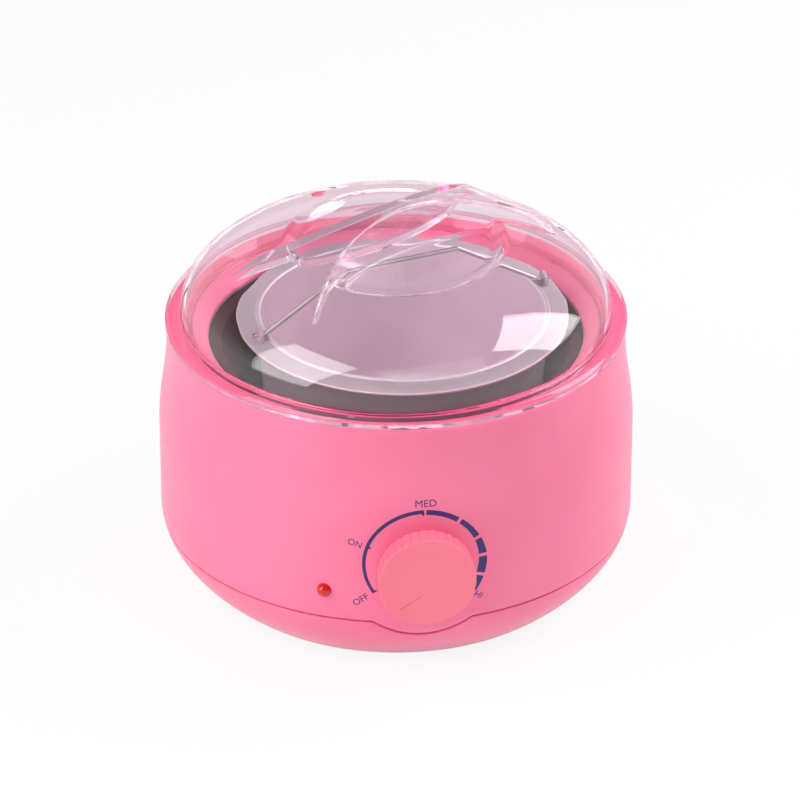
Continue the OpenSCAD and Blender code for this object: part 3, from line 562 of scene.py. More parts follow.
carve(pink_shell, "DIFFERENCE", [
    rod((0, -80, KNOB_Z), (0, -96, KNOB_Z), SHAFT_HOLE_R),
    rod(at_angle(LENS_AT, 82, LENS_Z), at_angle(LENS_AT, 95, LENS_Z), LENS_HOLE_R),
    rod((0, 82, INLET_Z), (0, 95, INLET_Z), INLET_HOLE_R)])
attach(pink_shell, "body")
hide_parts("outer_housing", "funnel_ring")
print("shell with holes:", len(pink_shell.data.polygons), "faces")

# %% [markdown]
# The base pan is the lower part of the same curve. It stands on a thin rim, its floor is raised a little,
# and a tongue inside the shell locates it. Its rows squeeze together under the bow, so it isn't quite a
# turned shape, and it is made of rings as the shell is.

# %% Base pan
PAN_TOP, PAN_EDGE, PAN_WALL = PART_Z - 0.55, 0.8, 3.6
PAN_UNDER, PAN_FLOOR, BOW_ENDS = 3.0, 5.4, 8.0
RIM_IN, RIM_OUT, MIDDLE_R = 66.4, 69.0, 30
TONGUE = ((2.7, 0.0), (2.7, 3.7), (3.0, 4.0), (4.0, 4.0), (4.3, 3.7), (4.3, -1.0))


def pan_ring(inset, z):
    height = z - bow * np.clip((z - BOW_ENDS) / (PAN_TOP - BOW_ENDS), 0, 1)
    return ring_at(wall_r(height) - inset, height)


def tongue_ring(inset, z):
    return ring_at(wall_r(PAN_TOP - bow) - inset, z - bow)


under = rounded([(0, PAN_UNDER, 0), (MIDDLE_R, PAN_UNDER, 0), (RIM_IN, PAN_UNDER, 0.5), (RIM_IN, 0.0, 0.4),
                 (RIM_OUT, 0.0, 0)])
pan_rows = [ring_at(r, z) for r, z in under]
pan_rows += [ring_at(69.45, 0.05), ring_at(69.85, 0.25)]
pan_rows += [pan_ring(0, z) for z in np.linspace(0.7, PAN_TOP - PAN_EDGE, 22)]
pan_rows += [pan_ring(inset, PAN_TOP - up) for inset, up in reversed(edge_arc(PAN_EDGE))][1:]
pan_rows += [tongue_ring(inset, PAN_TOP + up) for inset, up in TONGUE]
pan_rows += [pan_ring(PAN_WALL, z) for z in np.linspace(PAN_TOP - 4.0, PAN_FLOOR, 9)]
pan_rows += [ring_at(MIDDLE_R, PAN_FLOOR), ring_at(0, PAN_FLOOR)]
pan_mesh = mesh_of_rings("pink_base", pan_rows)
pink_base = add_piece("pink_base", pan_mesh, pink)
print("base pan:", len(pan_mesh.polygons), "faces")

# %% [markdown]
# Geometry Nodes make what repeats or follows a rule. Every tree below is built alike: named inputs for its
# sizes, a few nodes, and at the end Realize Instances and Set Material, because the export drops instances.
# The last helper sets the inputs by their identifiers, reads the result back as a plain mesh and removes
# the host, so no modifier stays on a piece.

# %% Geometry Nodes bricks


def new_tree(name, sockets):
    tree = bpy.data.node_groups.new(name, "GeometryNodeTree")
    tree.interface.new_socket("Geometry", in_out="OUTPUT", socket_type="NodeSocketGeometry")
    for label, kind in sockets:
        tree.interface.new_socket(label, in_out="INPUT", socket_type=kind)
    return tree, tree.nodes.new("NodeGroupInput"), tree.nodes.new("NodeGroupOutput")


def end_tree(tree, geometry, material_socket, out):
    realize = tree.nodes.new("GeometryNodeRealizeInstances")
    paint = tree.nodes.new("GeometryNodeSetMaterial")
    tree.links.new(geometry, realize.inputs["Geometry"])
    tree.links.new(realize.outputs["Geometry"], paint.inputs["Geometry"])
    tree.links.new(material_socket, paint.inputs["Material"])
    tree.links.new(paint.outputs["Geometry"], out.inputs["Geometry"])


def grow(tree, values, start=None):
    host = bpy.data.objects.new(tree.name, start or bpy.data.meshes.new(tree.name))
    bpy.context.collection.objects.link(host)
    step = host.modifiers.new(tree.name, "NODES")
    step.node_group = tree
    for item in tree.interface.items_tree:
        if item.item_type == "SOCKET" and item.in_out == "INPUT" and item.name in values:
            step[item.identifier] = values[item.name]
    mesh = bpy.data.meshes.new_from_object(host.evaluated_get(bpy.context.evaluated_depsgraph_get()))
    bpy.data.objects.remove(host)
    return mesh


print("node trees so far:", len(bpy.data.node_groups))

# %% [markdown]
# Twelve vent slots in the pan's floor let cool air in. They could be drawn one by one, but they repeat round
# a circle, so a tree sets them out: a circle of points carries one slot-shaped block each, turned along its
# radius. The result is used as a cutter.

# %% Vent slots by Geometry Nodes
slots, slots_in, slots_out = new_tree("vent_slots", [
    ("Count", "NodeSocketInt"), ("Radius", "NodeSocketFloat"), ("Length", "NodeSocketFloat"),
    ("Width", "NodeSocketFloat"), ("Depth", "NodeSocketFloat"), ("Material", "NodeSocketMaterial")])
circle = slots.nodes.new("GeometryNodeMeshCircle")
slots.links.new(slots_in.outputs["Count"], circle.inputs["Vertices"])
slots.links.new(slots_in.outputs["Radius"], circle.inputs["Radius"])
block_size = slots.nodes.new("ShaderNodeCombineXYZ")
for label, axis in (("Length", "X"), ("Width", "Y"), ("Depth", "Z")):
    slots.links.new(slots_in.outputs[label], block_size.inputs[axis])
block = slots.nodes.new("GeometryNodeMeshCube")
slots.links.new(block_size.outputs[0], block.inputs["Size"])
spot = slots.nodes.new("GeometryNodeInputPosition")
turn = slots.nodes.new("FunctionNodeAlignRotationToVector")
turn.axis = "X"
slots.links.new(spot.outputs[0], turn.inputs["Vector"])
stamp = slots.nodes.new("GeometryNodeInstanceOnPoints")
slots.links.new(circle.outputs["Mesh"], stamp.inputs["Points"])
slots.links.new(block.outputs["Mesh"], stamp.inputs["Instance"])
slots.links.new(turn.outputs["Rotation"], stamp.inputs["Rotation"])
end_tree(slots, stamp.outputs["Instances"], slots_in.outputs["Material"], slots_out)
slot_mesh = grow(slots, {"Count": 12, "Radius": 17.5 * MM, "Length": 11 * MM, "Width": 2.5 * MM,
                         "Depth": 16 * MM, "Material": pink})
print("vent slots:", len(slot_mesh.polygons), "faces")

# %% [markdown]
# Four bosses take the screws that hold shell and pan together, and two more carry the cord clamp. They are
# joined on first. Then the slots and the deep screw recesses are cut, and last the narrow holes for screws,
# posts and feet. In this order a hole goes through the boss that it belongs to.

# %% Bosses, recesses and holes of the base
CORNERS, FEET, POSTS = (45, 135, 225, 315), (15, 105, 195, 285), (60, 180, 300)
BOSS_RING, POST_RING, FOOT_RING, BOSS_R = 63, 53, 58, 4.6
CLAMP_X, CLAMP_Y = (-8.1, 8.1), 60


def rods_round(angles, ring, low, high, radius):
    return [rod(at_angle(a, ring, low), at_angle(a, ring, high), radius) for a in angles]


def clamp_rods(low, high, radius):
    return [rod((x, CLAMP_Y, low), (x, CLAMP_Y, high), radius) for x in CLAMP_X]


carve(pink_base, "UNION",
      rods_round(CORNERS, BOSS_RING, 3.4, 12.0, BOSS_R) + clamp_rods(4.4, 11.4, BOSS_R))
carve(pink_base, "DIFFERENCE", [slot_mesh] + rods_round(CORNERS, BOSS_RING, -1, 9.0, 3.25))
carve(pink_base, "DIFFERENCE",
      rods_round(CORNERS, BOSS_RING, 8.0, 13.0, 1.9) + rods_round(POSTS, POST_RING, -1, 7.0, 1.9)
      + rods_round(FEET, FOOT_RING, -1, 7.0, 2.05) + clamp_rods(5.4, 13.0, 1.7))
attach(pink_base, "body")
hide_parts("base_pan")
print("base pan with holes:", len(pink_base.data.polygons), "faces")

# %% [markdown]
# A tree does its sums in Math nodes. This helper adds one node for one sum, and takes plain numbers or the
# outputs of other nodes, so that a formula can be read from left to right.

# %% Sums inside a tree


def maths(tree, operation, a, b=None):
    node = tree.nodes.new("ShaderNodeMath")
    node.operation = operation
    for socket, value in zip(node.inputs, (a, b)):
        if value is None:
            continue
        if isinstance(value, (int, float)):
            socket.default_value = value
        else:
            tree.links.new(value, socket)
    return node.outputs[0]


print("sums ready for", [group.name for group in bpy.data.node_groups], "and the trees to come")

# %% [markdown]
# The dial's scale is printed on the shell in dark indigo ink: a thin arc from off to medium, then blocks
# that grow wider towards high. The ink could be a colour in the shell's own finish, but a film of its own
# keeps a crisp edge at any distance. One tree makes every band: a strip of quads whose length becomes an
# angle and whose width becomes a radius.

# %% Scale band by Geometry Nodes
ink = moulded("indigo_print_ink", srgb(40, 28, 102), srgb(50, 38, 114), 0.3, 0.42, 1500.0, 0.00001)[0]
band, band_in, band_out = new_tree("scale_band", [
    ("Start", "NodeSocketFloat"), ("End", "NodeSocketFloat"), ("Inner radius", "NodeSocketFloat"),
    ("Width at start", "NodeSocketFloat"), ("Width at end", "NodeSocketFloat"),
    ("Steps", "NodeSocketInt"), ("Material", "NodeSocketMaterial")])
strip = band.nodes.new("GeometryNodeMeshGrid")
strip.inputs["Size X"].default_value = 1.0
strip.inputs["Size Y"].default_value = 1.0
strip.inputs["Vertices Y"].default_value = 4
band.links.new(band_in.outputs["Steps"], strip.inputs["Vertices X"])
split = band.nodes.new("ShaderNodeSeparateXYZ")
band.links.new(band.nodes.new("GeometryNodeInputPosition").outputs[0], split.inputs[0])
along = maths(band, "ADD", split.outputs["X"], 0.5)
across = maths(band, "ADD", split.outputs["Y"], 0.5)
sweep = maths(band, "SUBTRACT", band_in.outputs["End"], band_in.outputs["Start"])
angle = maths(band, "ADD", band_in.outputs["Start"], maths(band, "MULTIPLY", sweep, along))
angle = maths(band, "RADIANS", angle)
gain = maths(band, "SUBTRACT", band_in.outputs["Width at end"], band_in.outputs["Width at start"])
width = maths(band, "ADD", band_in.outputs["Width at start"], maths(band, "MULTIPLY", gain, along))
radius = maths(band, "ADD", band_in.outputs["Inner radius"], maths(band, "MULTIPLY", width, across))
spot = band.nodes.new("ShaderNodeCombineXYZ")
band.links.new(maths(band, "MULTIPLY", radius, maths(band, "COSINE", angle)), spot.inputs["X"])
band.links.new(maths(band, "MULTIPLY", radius, maths(band, "SINE", angle)), spot.inputs["Z"])
bend = band.nodes.new("GeometryNodeSetPosition")
band.links.new(strip.outputs["Mesh"], bend.inputs["Geometry"])
band.links.new(spot.outputs[0], bend.inputs["Position"])
end_tree(band, bend.outputs["Geometry"], band_in.outputs["Material"], band_out)
print("scale band:", len(band.nodes), "nodes")

# %% [markdown]
# The bands themselves are a list of angles in degrees, counted from the right-hand side, with an inner
# radius and two widths in millimetres. The first is the long arc, the next three are its short ticks, and
# the rest are the blocks.

# %% Arc, ticks and blocks
TICK_R, TICK_W, BLOCK_R, STEP_ANGLE = 20.5, 0.8, 20.75, 1.5


def scale_band(start, end, inner, width_start, width_end):
    steps = max(3, int(abs(end - start) / STEP_ANGLE))
    return grow(band, {"Start": float(start), "End": float(end), "Inner radius": inner * MM,
                       "Width at start": width_start * MM, "Width at end": width_end * MM,
                       "Steps": steps, "Material": ink})


marks = [scale_band(213.5, 89.5, 21.2, 1.15, 1.5)]
marks += [scale_band(a, b, TICK_R, TICK_W, TICK_W) for a, b in (
    (213.5, 211.7), (161.4, 159.4), (91.6, 89.5))]
marks += [scale_band(a, b, BLOCK_R, w, v) for a, b, w, v in (
    (87.4, 54.0, 1.95, 1.95), (50.6, 25.2, 1.95, 2.3), (21.8, 4.5, 2.45, 3.05),
    (1.0, -16.4, 3.1, 3.25), (-19.8, -36.0, 3.25, 3.25))]
print("scale marks:", len(marks))

# %% [markdown]
# The four words are generic: off, on, medium and high. Blender's own font gives the letters. Each word is
# turned into a mesh, brought to the height and length that it has in the photograph, turned to its slant,
# and made a little bolder by an outset, because ink spreads as it is printed.

# %% Words of the scale
SCALE_X, SCALE_Z = 0.0, 50.3
BOLDER = 0.1


def word(letters, cap_height, length, centre, turned):
    curve = bpy.data.curves.new(letters, "FONT")
    curve.body = letters
    curve.resolution_u = 4
    host = bpy.data.objects.new(letters, curve)
    bpy.context.collection.objects.link(host)
    mesh = bpy.data.meshes.new_from_object(host.evaluated_get(bpy.context.evaluated_depsgraph_get()))
    bpy.data.objects.remove(host)
    flat = np.array([v.co[:2] for v in mesh.vertices])
    low, high = flat.min(axis=0), flat.max(axis=0)
    flat = (flat - (low + high) / 2) / (high - low) * (length, cap_height)
    a = math.radians(turned)
    x = centre[0] - SCALE_X + flat[:, 0] * math.cos(a) - flat[:, 1] * math.sin(a)
    z = centre[1] - SCALE_Z + flat[:, 0] * math.sin(a) + flat[:, 1] * math.cos(a)
    for vertex, px, pz in zip(mesh.vertices, x, z):
        vertex.co = (px * MM, 0, pz * MM)
    work = bmesh.new()
    work.from_mesh(mesh)
    bmesh.ops.inset_region(work, faces=work.faces, use_boundary=True, use_even_offset=True,
                           thickness=BOLDER * MM, use_outset=True)
    work.to_mesh(mesh)
    work.free()
    return mesh


words = [word("OFF", 2.5, 6.4, (-23.0, 35.0), 38), word("ON", 2.6, 5.0, (-25.0, 58.9), -19),
         word("MED", 2.7, 7.8, (0.9, 75.6), 0), word("HI", 2.5, 2.8, (20.75, 34.6), -34)]
print("words:", len(words))

# %% [markdown]
# So far the print is flat. Its long edges are divided, so that they can bend, and every point is moved
# straight back onto the curved wall, a few hundredths of a millimetre proud of it. Solidify then gives the
# ink its thickness. A Shrinkwrap modifier would do the same, but the wall's own rule is exact.

# %% Lay the print on the shell
INK_PROUD, INK_FILM, LONG_EDGE = 0.03, 0.05, 0.0012
flat_print = joined("dial_print", marks + words)
work = bmesh.new()
work.from_mesh(flat_print)
bmesh.ops.triangulate(work, faces=[f for f in work.faces if len(f.verts) > 4])
long_edges = [e for e in work.edges if e.calc_length() > LONG_EDGE]
bmesh.ops.subdivide_edges(work, edges=long_edges, cuts=1)
for vertex in work.verts:
    x, z = vertex.co.x / MM + SCALE_X, vertex.co.z / MM + SCALE_Z
    vertex.co = Vector((x, -math.sqrt(float(wall_r(z)) ** 2 - x * x) - INK_PROUD, z)) * MM
bmesh.ops.recalc_face_normals(work, faces=work.faces)
for face in work.faces:
    if face.normal.y > 0:
        face.normal_flip()
work.to_mesh(flat_print)
work.free()
dial_print = add_piece("dial_print", flat_print, ink)
thick = dial_print.modifiers.new("ink_film", "SOLIDIFY")
thick.thickness = INK_FILM * MM
thick.offset = -1.0
baked(dial_print)
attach(dial_print, "body")
print("print:", len(dial_print.data.polygons), "faces")

# %% [markdown]
# The dial is a salmon disc on a narrower hub, so that finger tips reach behind it. Its outline is turned
# about the dial's axis: a barely dished face, a small round edge, a straight side, and the hollow hub with
# its shaft socket. There are fourteen columns to a flute, so that each groove comes out alike.

# %% Dial disc and hub
KNOB_BACK, FLUTES, FLUTE_COLUMNS = 90.6, 33, 14
DISC_R, DISC_BACK, FACE_H = 18.0, 4.7, 12.4
HUB_R, HOLLOW_R, SOCKET_R, SHAFT_R, HOLLOW_H = 13.6, 11.4, 5.0, 3.05, 9.6
salmon, salmon_shader = moulded(
    "salmon_dial_plastic", srgb(248, 117, 138), srgb(252, 125, 146), 0.3, 0.36, 900.0, 0.00003)
salmon_shader.inputs["Subsurface Weight"].default_value = 0.1
salmon_shader.inputs["Subsurface Radius"].default_value = (1.0, 0.3, 0.3)
salmon_shader.inputs["Subsurface Scale"].default_value = 0.003
cap_profile = [(0.0, 12.2), (4, 12.2), (8, 12.22), (11.5, 12.28)]
cap_profile += rounded([
    (14.0, 12.34, 0), (16.2, FACE_H, 0.8), (DISC_R, FACE_H, 0.6), (DISC_R, 11.0, 0)], steps=9)
cap_profile += [(DISC_R, h) for h in (10.0, 9.0, 8.0, 7.0, 6.0)]
cap_profile += rounded([
    (DISC_R, 5.2, 0), (DISC_R, DISC_BACK, 0.3), (HUB_R, DISC_BACK, 0.6), (HUB_R, 0.0, 0.4),
    (HOLLOW_R, 0.0, 0.2), (HOLLOW_R, HOLLOW_H, 0.5), (SOCKET_R, HOLLOW_H, 0.4), (SOCKET_R, 0.0, 0.2),
    (SHAFT_R, 0.0, 0.1), (SHAFT_R, HOLLOW_H, 0.1), (0.0, HOLLOW_H, 0)])


def facing_front(profile, count):
    turns = np.linspace(0, 2 * math.pi, count, endpoint=False)
    rows = []
    for r, h in profile:
        rows.append(np.stack([r * np.cos(turns), np.full(count, -(KNOB_BACK + h)),
                              KNOB_Z + r * np.sin(turns)], axis=1))
    return rows


cap_mesh = mesh_of_rings("dial_cap", facing_front(cap_profile, FLUTES * FLUTE_COLUMNS))
print("dial cap:", len(cap_mesh.polygons), "faces before fluting")

# %% [markdown]
# A tree presses the flutes in. It reads each point's angle about the dial's axis and its distance from it,
# and pushes it inwards in thirty-three narrow grooves with broad ribs between them. The grooves start on
# the rounded front edge and reach their full depth on the side. A cosine raised to a power gives a groove
# that is narrow and has no sharp lip.

# %% Flutes by Geometry Nodes
NARROW = 6.0
flutes, flutes_in, flutes_out = new_tree("dial_flutes", [
    ("Cap", "NodeSocketGeometry"), ("Count", "NodeSocketFloat"), ("Depth", "NodeSocketFloat"),
    ("Axis height", "NodeSocketFloat"), ("Face radius", "NodeSocketFloat"),
    ("Side radius", "NodeSocketFloat"), ("Material", "NodeSocketMaterial")])
split = flutes.nodes.new("ShaderNodeSeparateXYZ")
flutes.links.new(flutes.nodes.new("GeometryNodeInputPosition").outputs[0], split.inputs[0])
above = maths(flutes, "SUBTRACT", split.outputs["Z"], flutes_in.outputs["Axis height"])
out_r = maths(flutes, "SQRT", maths(flutes, "ADD", maths(flutes, "MULTIPLY", above, above),
                                    maths(flutes, "MULTIPLY", split.outputs["X"], split.outputs["X"])))
turned = maths(flutes, "ARCTAN2", above, split.outputs["X"])
phase = maths(flutes, "MULTIPLY", turned, flutes_in.outputs["Count"])
wave = maths(flutes, "MULTIPLY", maths(flutes, "ADD", 1.0, maths(flutes, "COSINE", phase)), 0.5)
groove = maths(flutes, "POWER", wave, NARROW)
ease = flutes.nodes.new("ShaderNodeMapRange")
ease.interpolation_type = "SMOOTHSTEP"
flutes.links.new(out_r, ease.inputs["Value"])
flutes.links.new(flutes_in.outputs["Face radius"], ease.inputs["From Min"])
flutes.links.new(flutes_in.outputs["Side radius"], ease.inputs["From Max"])
press = maths(flutes, "MULTIPLY", maths(flutes, "MULTIPLY", groove, ease.outputs["Result"]),
              flutes_in.outputs["Depth"])
inward = maths(flutes, "DIVIDE", maths(flutes, "MULTIPLY", press, -1.0), out_r)
shift = flutes.nodes.new("ShaderNodeCombineXYZ")
flutes.links.new(maths(flutes, "MULTIPLY", split.outputs["X"], inward), shift.inputs["X"])
flutes.links.new(maths(flutes, "MULTIPLY", above, inward), shift.inputs["Z"])
push = flutes.nodes.new("GeometryNodeSetPosition")
flutes.links.new(flutes_in.outputs["Cap"], push.inputs["Geometry"])
flutes.links.new(shift.outputs[0], push.inputs["Offset"])
end_tree(flutes, push.outputs["Geometry"], flutes_in.outputs["Material"], flutes_out)
fluted = grow(flutes, {
    "Count": float(FLUTES), "Depth": 0.34 * MM, "Axis height": KNOB_Z * MM, "Face radius": 17.2 * MM,
    "Side radius": 17.9 * MM, "Material": salmon}, start=cap_mesh)
smooth_shade(fluted, 40.0)
dial_cap = add_piece("dial_cap", fluted, salmon)
print("dial cap fluted:", len(fluted.polygons), "faces")

# %% [markdown]
# The pointer is a fine line pressed into the face, parallel to the direction in which the dial rests and a
# little to one side of the middle. It could be a dark line in the finish, but on the real dial only its
# shadow shows, so a thin round bar cuts it out.

# %% Pointer line
POINTER, LINE_ASIDE, LINE_H = math.radians(213.0), 3.5, 12.27
LINE_FROM, LINE_TO, LINE_R = 4.9, 14.0, 0.3
line_dir = np.array((math.cos(POINTER), 0, math.sin(POINTER)))
line_side = np.array((-math.sin(POINTER), 0, math.cos(POINTER)))
line_at = np.array((0, -(KNOB_BACK + LINE_H), KNOB_Z)) + LINE_ASIDE * line_side
line_start, line_end = line_at + LINE_FROM * line_dir, line_at + LINE_TO * line_dir
carve(dial_cap, "DIFFERENCE", [rod(line_start, line_end, LINE_R, 12)])
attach(dial_cap, "dial")
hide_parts("control_knob")
print("dial cap with pointer:", len(dial_cap.data.polygons), "faces")

# %% [markdown]
# The pot is spun from aluminium sheet. Spinning leaves rings of fine marks round the axis, so its finish
# reads the distance from the pot's own axis, which is a little off the body's because the pot sits loose
# in its well. The bore is bright. The flange is made darker, and the top of the outer wall just under it
# darker still, which is painted shade for the flange's shadow. The distance from the axis and the height
# tell these places apart.

# %% Spun aluminium
POT_X, POT_R = 2.6, 53.5
WALL_TO, FLANGE_FROM = 103.5, 104.8
# painted shade on the outer wall just under the flange, and a plain darkening of the flange itself
PAINTED_WALL_SHADE, FLANGE_DARKENING = 0.35, 0.68


def spun_metal(name, dark, light, rough_low, rough_high, centre_x, bore_r):
    finish, tree, shader, place = new_finish(name)
    shift = tree.nodes.new("ShaderNodeMapping")
    shift.inputs["Location"].default_value = (-centre_x * MM, 0, 0)
    tree.links.new(place, shift.inputs["Vector"])
    parts = tree.nodes.new("ShaderNodeSeparateXYZ")
    tree.links.new(shift.outputs[0], parts.inputs[0])
    flat = tree.nodes.new("ShaderNodeCombineXYZ")
    tree.links.new(parts.outputs["X"], flat.inputs["X"])
    tree.links.new(parts.outputs["Y"], flat.inputs["Y"])
    far = tree.nodes.new("ShaderNodeVectorMath")
    far.operation = "LENGTH"
    tree.links.new(flat.outputs[0], far.inputs[0])
    lathe = tree.nodes.new("ShaderNodeCombineXYZ")
    tree.links.new(far.outputs["Value"], lathe.inputs["X"])
    tree.links.new(parts.outputs["Z"], lathe.inputs["Y"])
    rings = noise(tree, lathe.outputs[0], 1800.0, 3.0)
    # painted shade: away from the bore the colour is scaled down, most on the wall under the flange, less on
    # the flange
    painted_shade_and_darker_flange = tree.nodes.new("ShaderNodeMapRange")
    painted_shade_and_darker_flange.inputs["From Min"].default_value = (bore_r + 0.2) * MM
    painted_shade_and_darker_flange.inputs["From Max"].default_value = (bore_r + 1.4) * MM
    painted_shade_and_darker_flange.inputs["To Min"].default_value = 1.0
    ranged(tree, parts.outputs["Z"], WALL_TO * MM, FLANGE_FROM * MM, PAINTED_WALL_SHADE, FLANGE_DARKENING,
           painted_shade_and_darker_flange.inputs["To Max"])
    tree.links.new(far.outputs["Value"], painted_shade_and_darker_flange.inputs["Value"])
    shade = tree.nodes.new("ShaderNodeVectorMath")
    shade.operation = "SCALE"
    tree.links.new(painted_shade_and_darker_flange.outputs["Result"], shade.inputs["Scale"])
    tint(tree, noise(tree, shift.outputs[0], 35.0), dark, light, shade.inputs[0])
    tree.links.new(shade.outputs[0], shader.inputs["Base Color"])
    spread(tree, rings, rough_low, rough_high, shader.inputs["Roughness"])
    emboss(tree, rings, 0.3, 0.00002, shader)
    return finish, shader


# painted reflection: the mauve cast of these colours stands for the shell's pink mirrored in the metal, over
# its own pale grey
spun, spun_shader = spun_metal(
    "spun_aluminium", (0.84, 0.75, 0.79, 1), (0.92, 0.83, 0.87, 1), 0.42, 0.54, POT_X, POT_R)
spun_shader.inputs["Anisotropic"].default_value = 0.6
spun_shader.inputs["Metallic"].default_value = 0.72
print("finish:", spun.name)

# %% [markdown]
# The pot's rim is a bead, the broad flange falls away from it, and its edge is rolled. One profile runs from
# the middle of the bore over the rim and back under the pot, and is turned about the pot's axis. Fingers
# have bent the flange a little: three waves of different lengths move its outer points in and out, and up
# and down, so that its outline isn't a perfect circle.

# %% Wax pot
RIM_Z, POT_FLOOR, POT_UNDER, POT_SIDES = 108.6, 48.4, 47.2, 192
WEAR, WEAR_UP, WEAR_FROM, WEAR_FULL = 0.0028, 40, 58, 62
pot_profile = [(0, POT_FLOOR), (15, POT_FLOOR), (30, POT_FLOOR)]
pot_profile += rounded([(36, POT_FLOOR, 0), (50.5, POT_FLOOR, 8.0), (POT_R, RIM_Z - 1.6, 0)], steps=10)[1:]
bead = np.linspace(0, math.pi * 0.62, 9)
pot_profile += [(POT_R + 1 - math.cos(a), RIM_Z - 1 + math.sin(a)) for a in bead]
pot_profile += rounded([
    (55.2, RIM_Z - 0.45, 0), (55.6, RIM_Z - 0.75, 0.5), (61.2, RIM_Z - 1.6, 1.5), (62.6, 106.7, 0.6),
    (62.5, 105.6, 0.5), (61.4, 105.3, 0.3), (61.0, 105.9, 0.3), (56.0, 106.5, 0.6), (54.7, 104.5, 0.6),
    (51.7, POT_UNDER, 9.2), (30, POT_UNDER, 0)], steps=8)
pot_profile += [(15, POT_UNDER), (0, POT_UNDER)]
turns = np.linspace(0, 2 * math.pi, POT_SIDES, endpoint=False)
worn = np.sin(7 * turns + 1) + 0.7 * np.sin(13 * turns) + 0.6 * np.sin(23 * turns + 2)
pot_rows = []
for r, z in pot_profile:
    dent = WEAR * worn * np.clip((r - WEAR_FROM) / (WEAR_FULL - WEAR_FROM), 0, 1)
    reach = r * (1 + dent)
    across, deep = POT_X + reach * np.sin(turns), -reach * np.cos(turns)
    pot_rows.append(np.stack([across, deep, z + WEAR_UP * dent], axis=1))
pot_body = mesh_of_rings("spun_pot", pot_rows)
print("pot:", len(pot_body.polygons), "faces")

# %% [markdown]
# Two ears stand on the flange to take the ends of the bail. Each is a tab with a round top and a hole. A
# Boolean could cut the hole, but four loops give the whole ear cleanly: its front and back outlines and the
# two rims of the hole.

# %% Ears for the bail
BAIL_ANGLE, EAR_R, EAR_T, PIVOT_Z = 16.5, 58.0, 1.2, 109.8
EAR_HALF, EAR_DROP, EAR_HOLE_R = 3.0, 3.4, 0.95


def ear(azimuth):
    turns = np.linspace(0, 2 * math.pi, 40, endpoint=False)
    outline, hole = [], []
    for a in turns:
        across, up = math.cos(a), math.sin(a)
        if up >= 0:
            reach = EAR_HALF
        else:
            reach = min(EAR_HALF / max(abs(across), 1e-6), EAR_DROP / abs(up))
        outline.append((across * reach, up * reach))
        hole.append((across * EAR_HOLE_R, up * EAR_HOLE_R))
    turned = math.radians(azimuth)
    radial = np.array((math.cos(turned), math.sin(turned), 0))
    tangent = np.array((-math.sin(turned), math.cos(turned), 0))
    centre = np.array((POT_X, 0, PIVOT_Z)) + EAR_R * radial
    rows = []
    for path, depth in ((outline, -0.5), (hole, -0.5), (hole, 0.5), (outline, 0.5)):
        rows.append([centre + radial * EAR_T * depth + tangent * t + np.array((0, 0, u)) for t, u in path])
    return mesh_of_rings("ear", rows, loop=True)


pot_mesh = joined("wax_pot", [pot_body, ear(BAIL_ANGLE), ear(BAIL_ANGLE + 180)])
smooth_shade(pot_mesh)
wax_pot = add_piece("wax_pot", pot_mesh, spun)
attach(wax_pot, "pot")
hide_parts("inner_pot")
print("pot with ears:", len(pot_mesh.polygons), "faces")

# %% [markdown]
# The bail is bright drawn wire, which has fine marks and a soft shine. Wire follows a path, so a tree makes
# it: the path's corners are filleted to the wire's bending radius, and a small circle is swept along it. A
# bevelled curve would do for straight runs, but it has no bending radius of its own.

# %% Bright wire and its sweep
BEND_STEPS, WIRE_SIDES = 10, 18
wire_metal, wire_tree, wire_shader, wire_place = new_finish("bright_drawn_wire")
tint(wire_tree, noise(wire_tree, wire_place, 60.0), (0.58, 0.55, 0.57, 1), (0.72, 0.69, 0.70, 1),
     wire_shader.inputs["Base Color"])
spread(wire_tree, noise(wire_tree, wire_place, 900.0), 0.16, 0.26, wire_shader.inputs["Roughness"])
emboss(wire_tree, noise(wire_tree, wire_place, 2500.0), 0.15, 0.00002, wire_shader)
wire_shader.inputs["Metallic"].default_value = 1.0
sweep_tree, sweep_in, sweep_out = new_tree("wire_sweep", [
    ("Path", "NodeSocketGeometry"), ("Wire radius", "NodeSocketFloat"), ("Bend radius", "NodeSocketFloat"),
    ("Material", "NodeSocketMaterial")])
to_curve = sweep_tree.nodes.new("GeometryNodeMeshToCurve")
sweep_tree.links.new(sweep_in.outputs["Path"], to_curve.inputs["Mesh"])
soften = sweep_tree.nodes.new("GeometryNodeFilletCurve")
soften.mode = "POLY"
soften.inputs["Count"].default_value = BEND_STEPS
soften.inputs["Limit Radius"].default_value = True
sweep_tree.links.new(to_curve.outputs["Curve"], soften.inputs["Curve"])
sweep_tree.links.new(sweep_in.outputs["Bend radius"], soften.inputs["Radius"])
section = sweep_tree.nodes.new("GeometryNodeCurvePrimitiveCircle")
section.inputs["Resolution"].default_value = WIRE_SIDES
sweep_tree.links.new(sweep_in.outputs["Wire radius"], section.inputs["Radius"])
swept = sweep_tree.nodes.new("GeometryNodeCurveToMesh")
swept.inputs["Fill Caps"].default_value = True
sweep_tree.links.new(soften.outputs["Curve"], swept.inputs["Curve"])
sweep_tree.links.new(section.outputs["Curve"], swept.inputs["Profile Curve"])
end_tree(sweep_tree, swept.outputs["Mesh"], sweep_in.outputs["Material"], sweep_out)
print("wire sweep:", len(sweep_tree.nodes), "nodes")

# %% [markdown]
# The bail itself is one length of that wire, bent at four places. Its two ends pass through the ears, and
# it rises from them to a short straight grip. The path is drawn upright, as the bail stands at rest, and
# the joint tilts it.

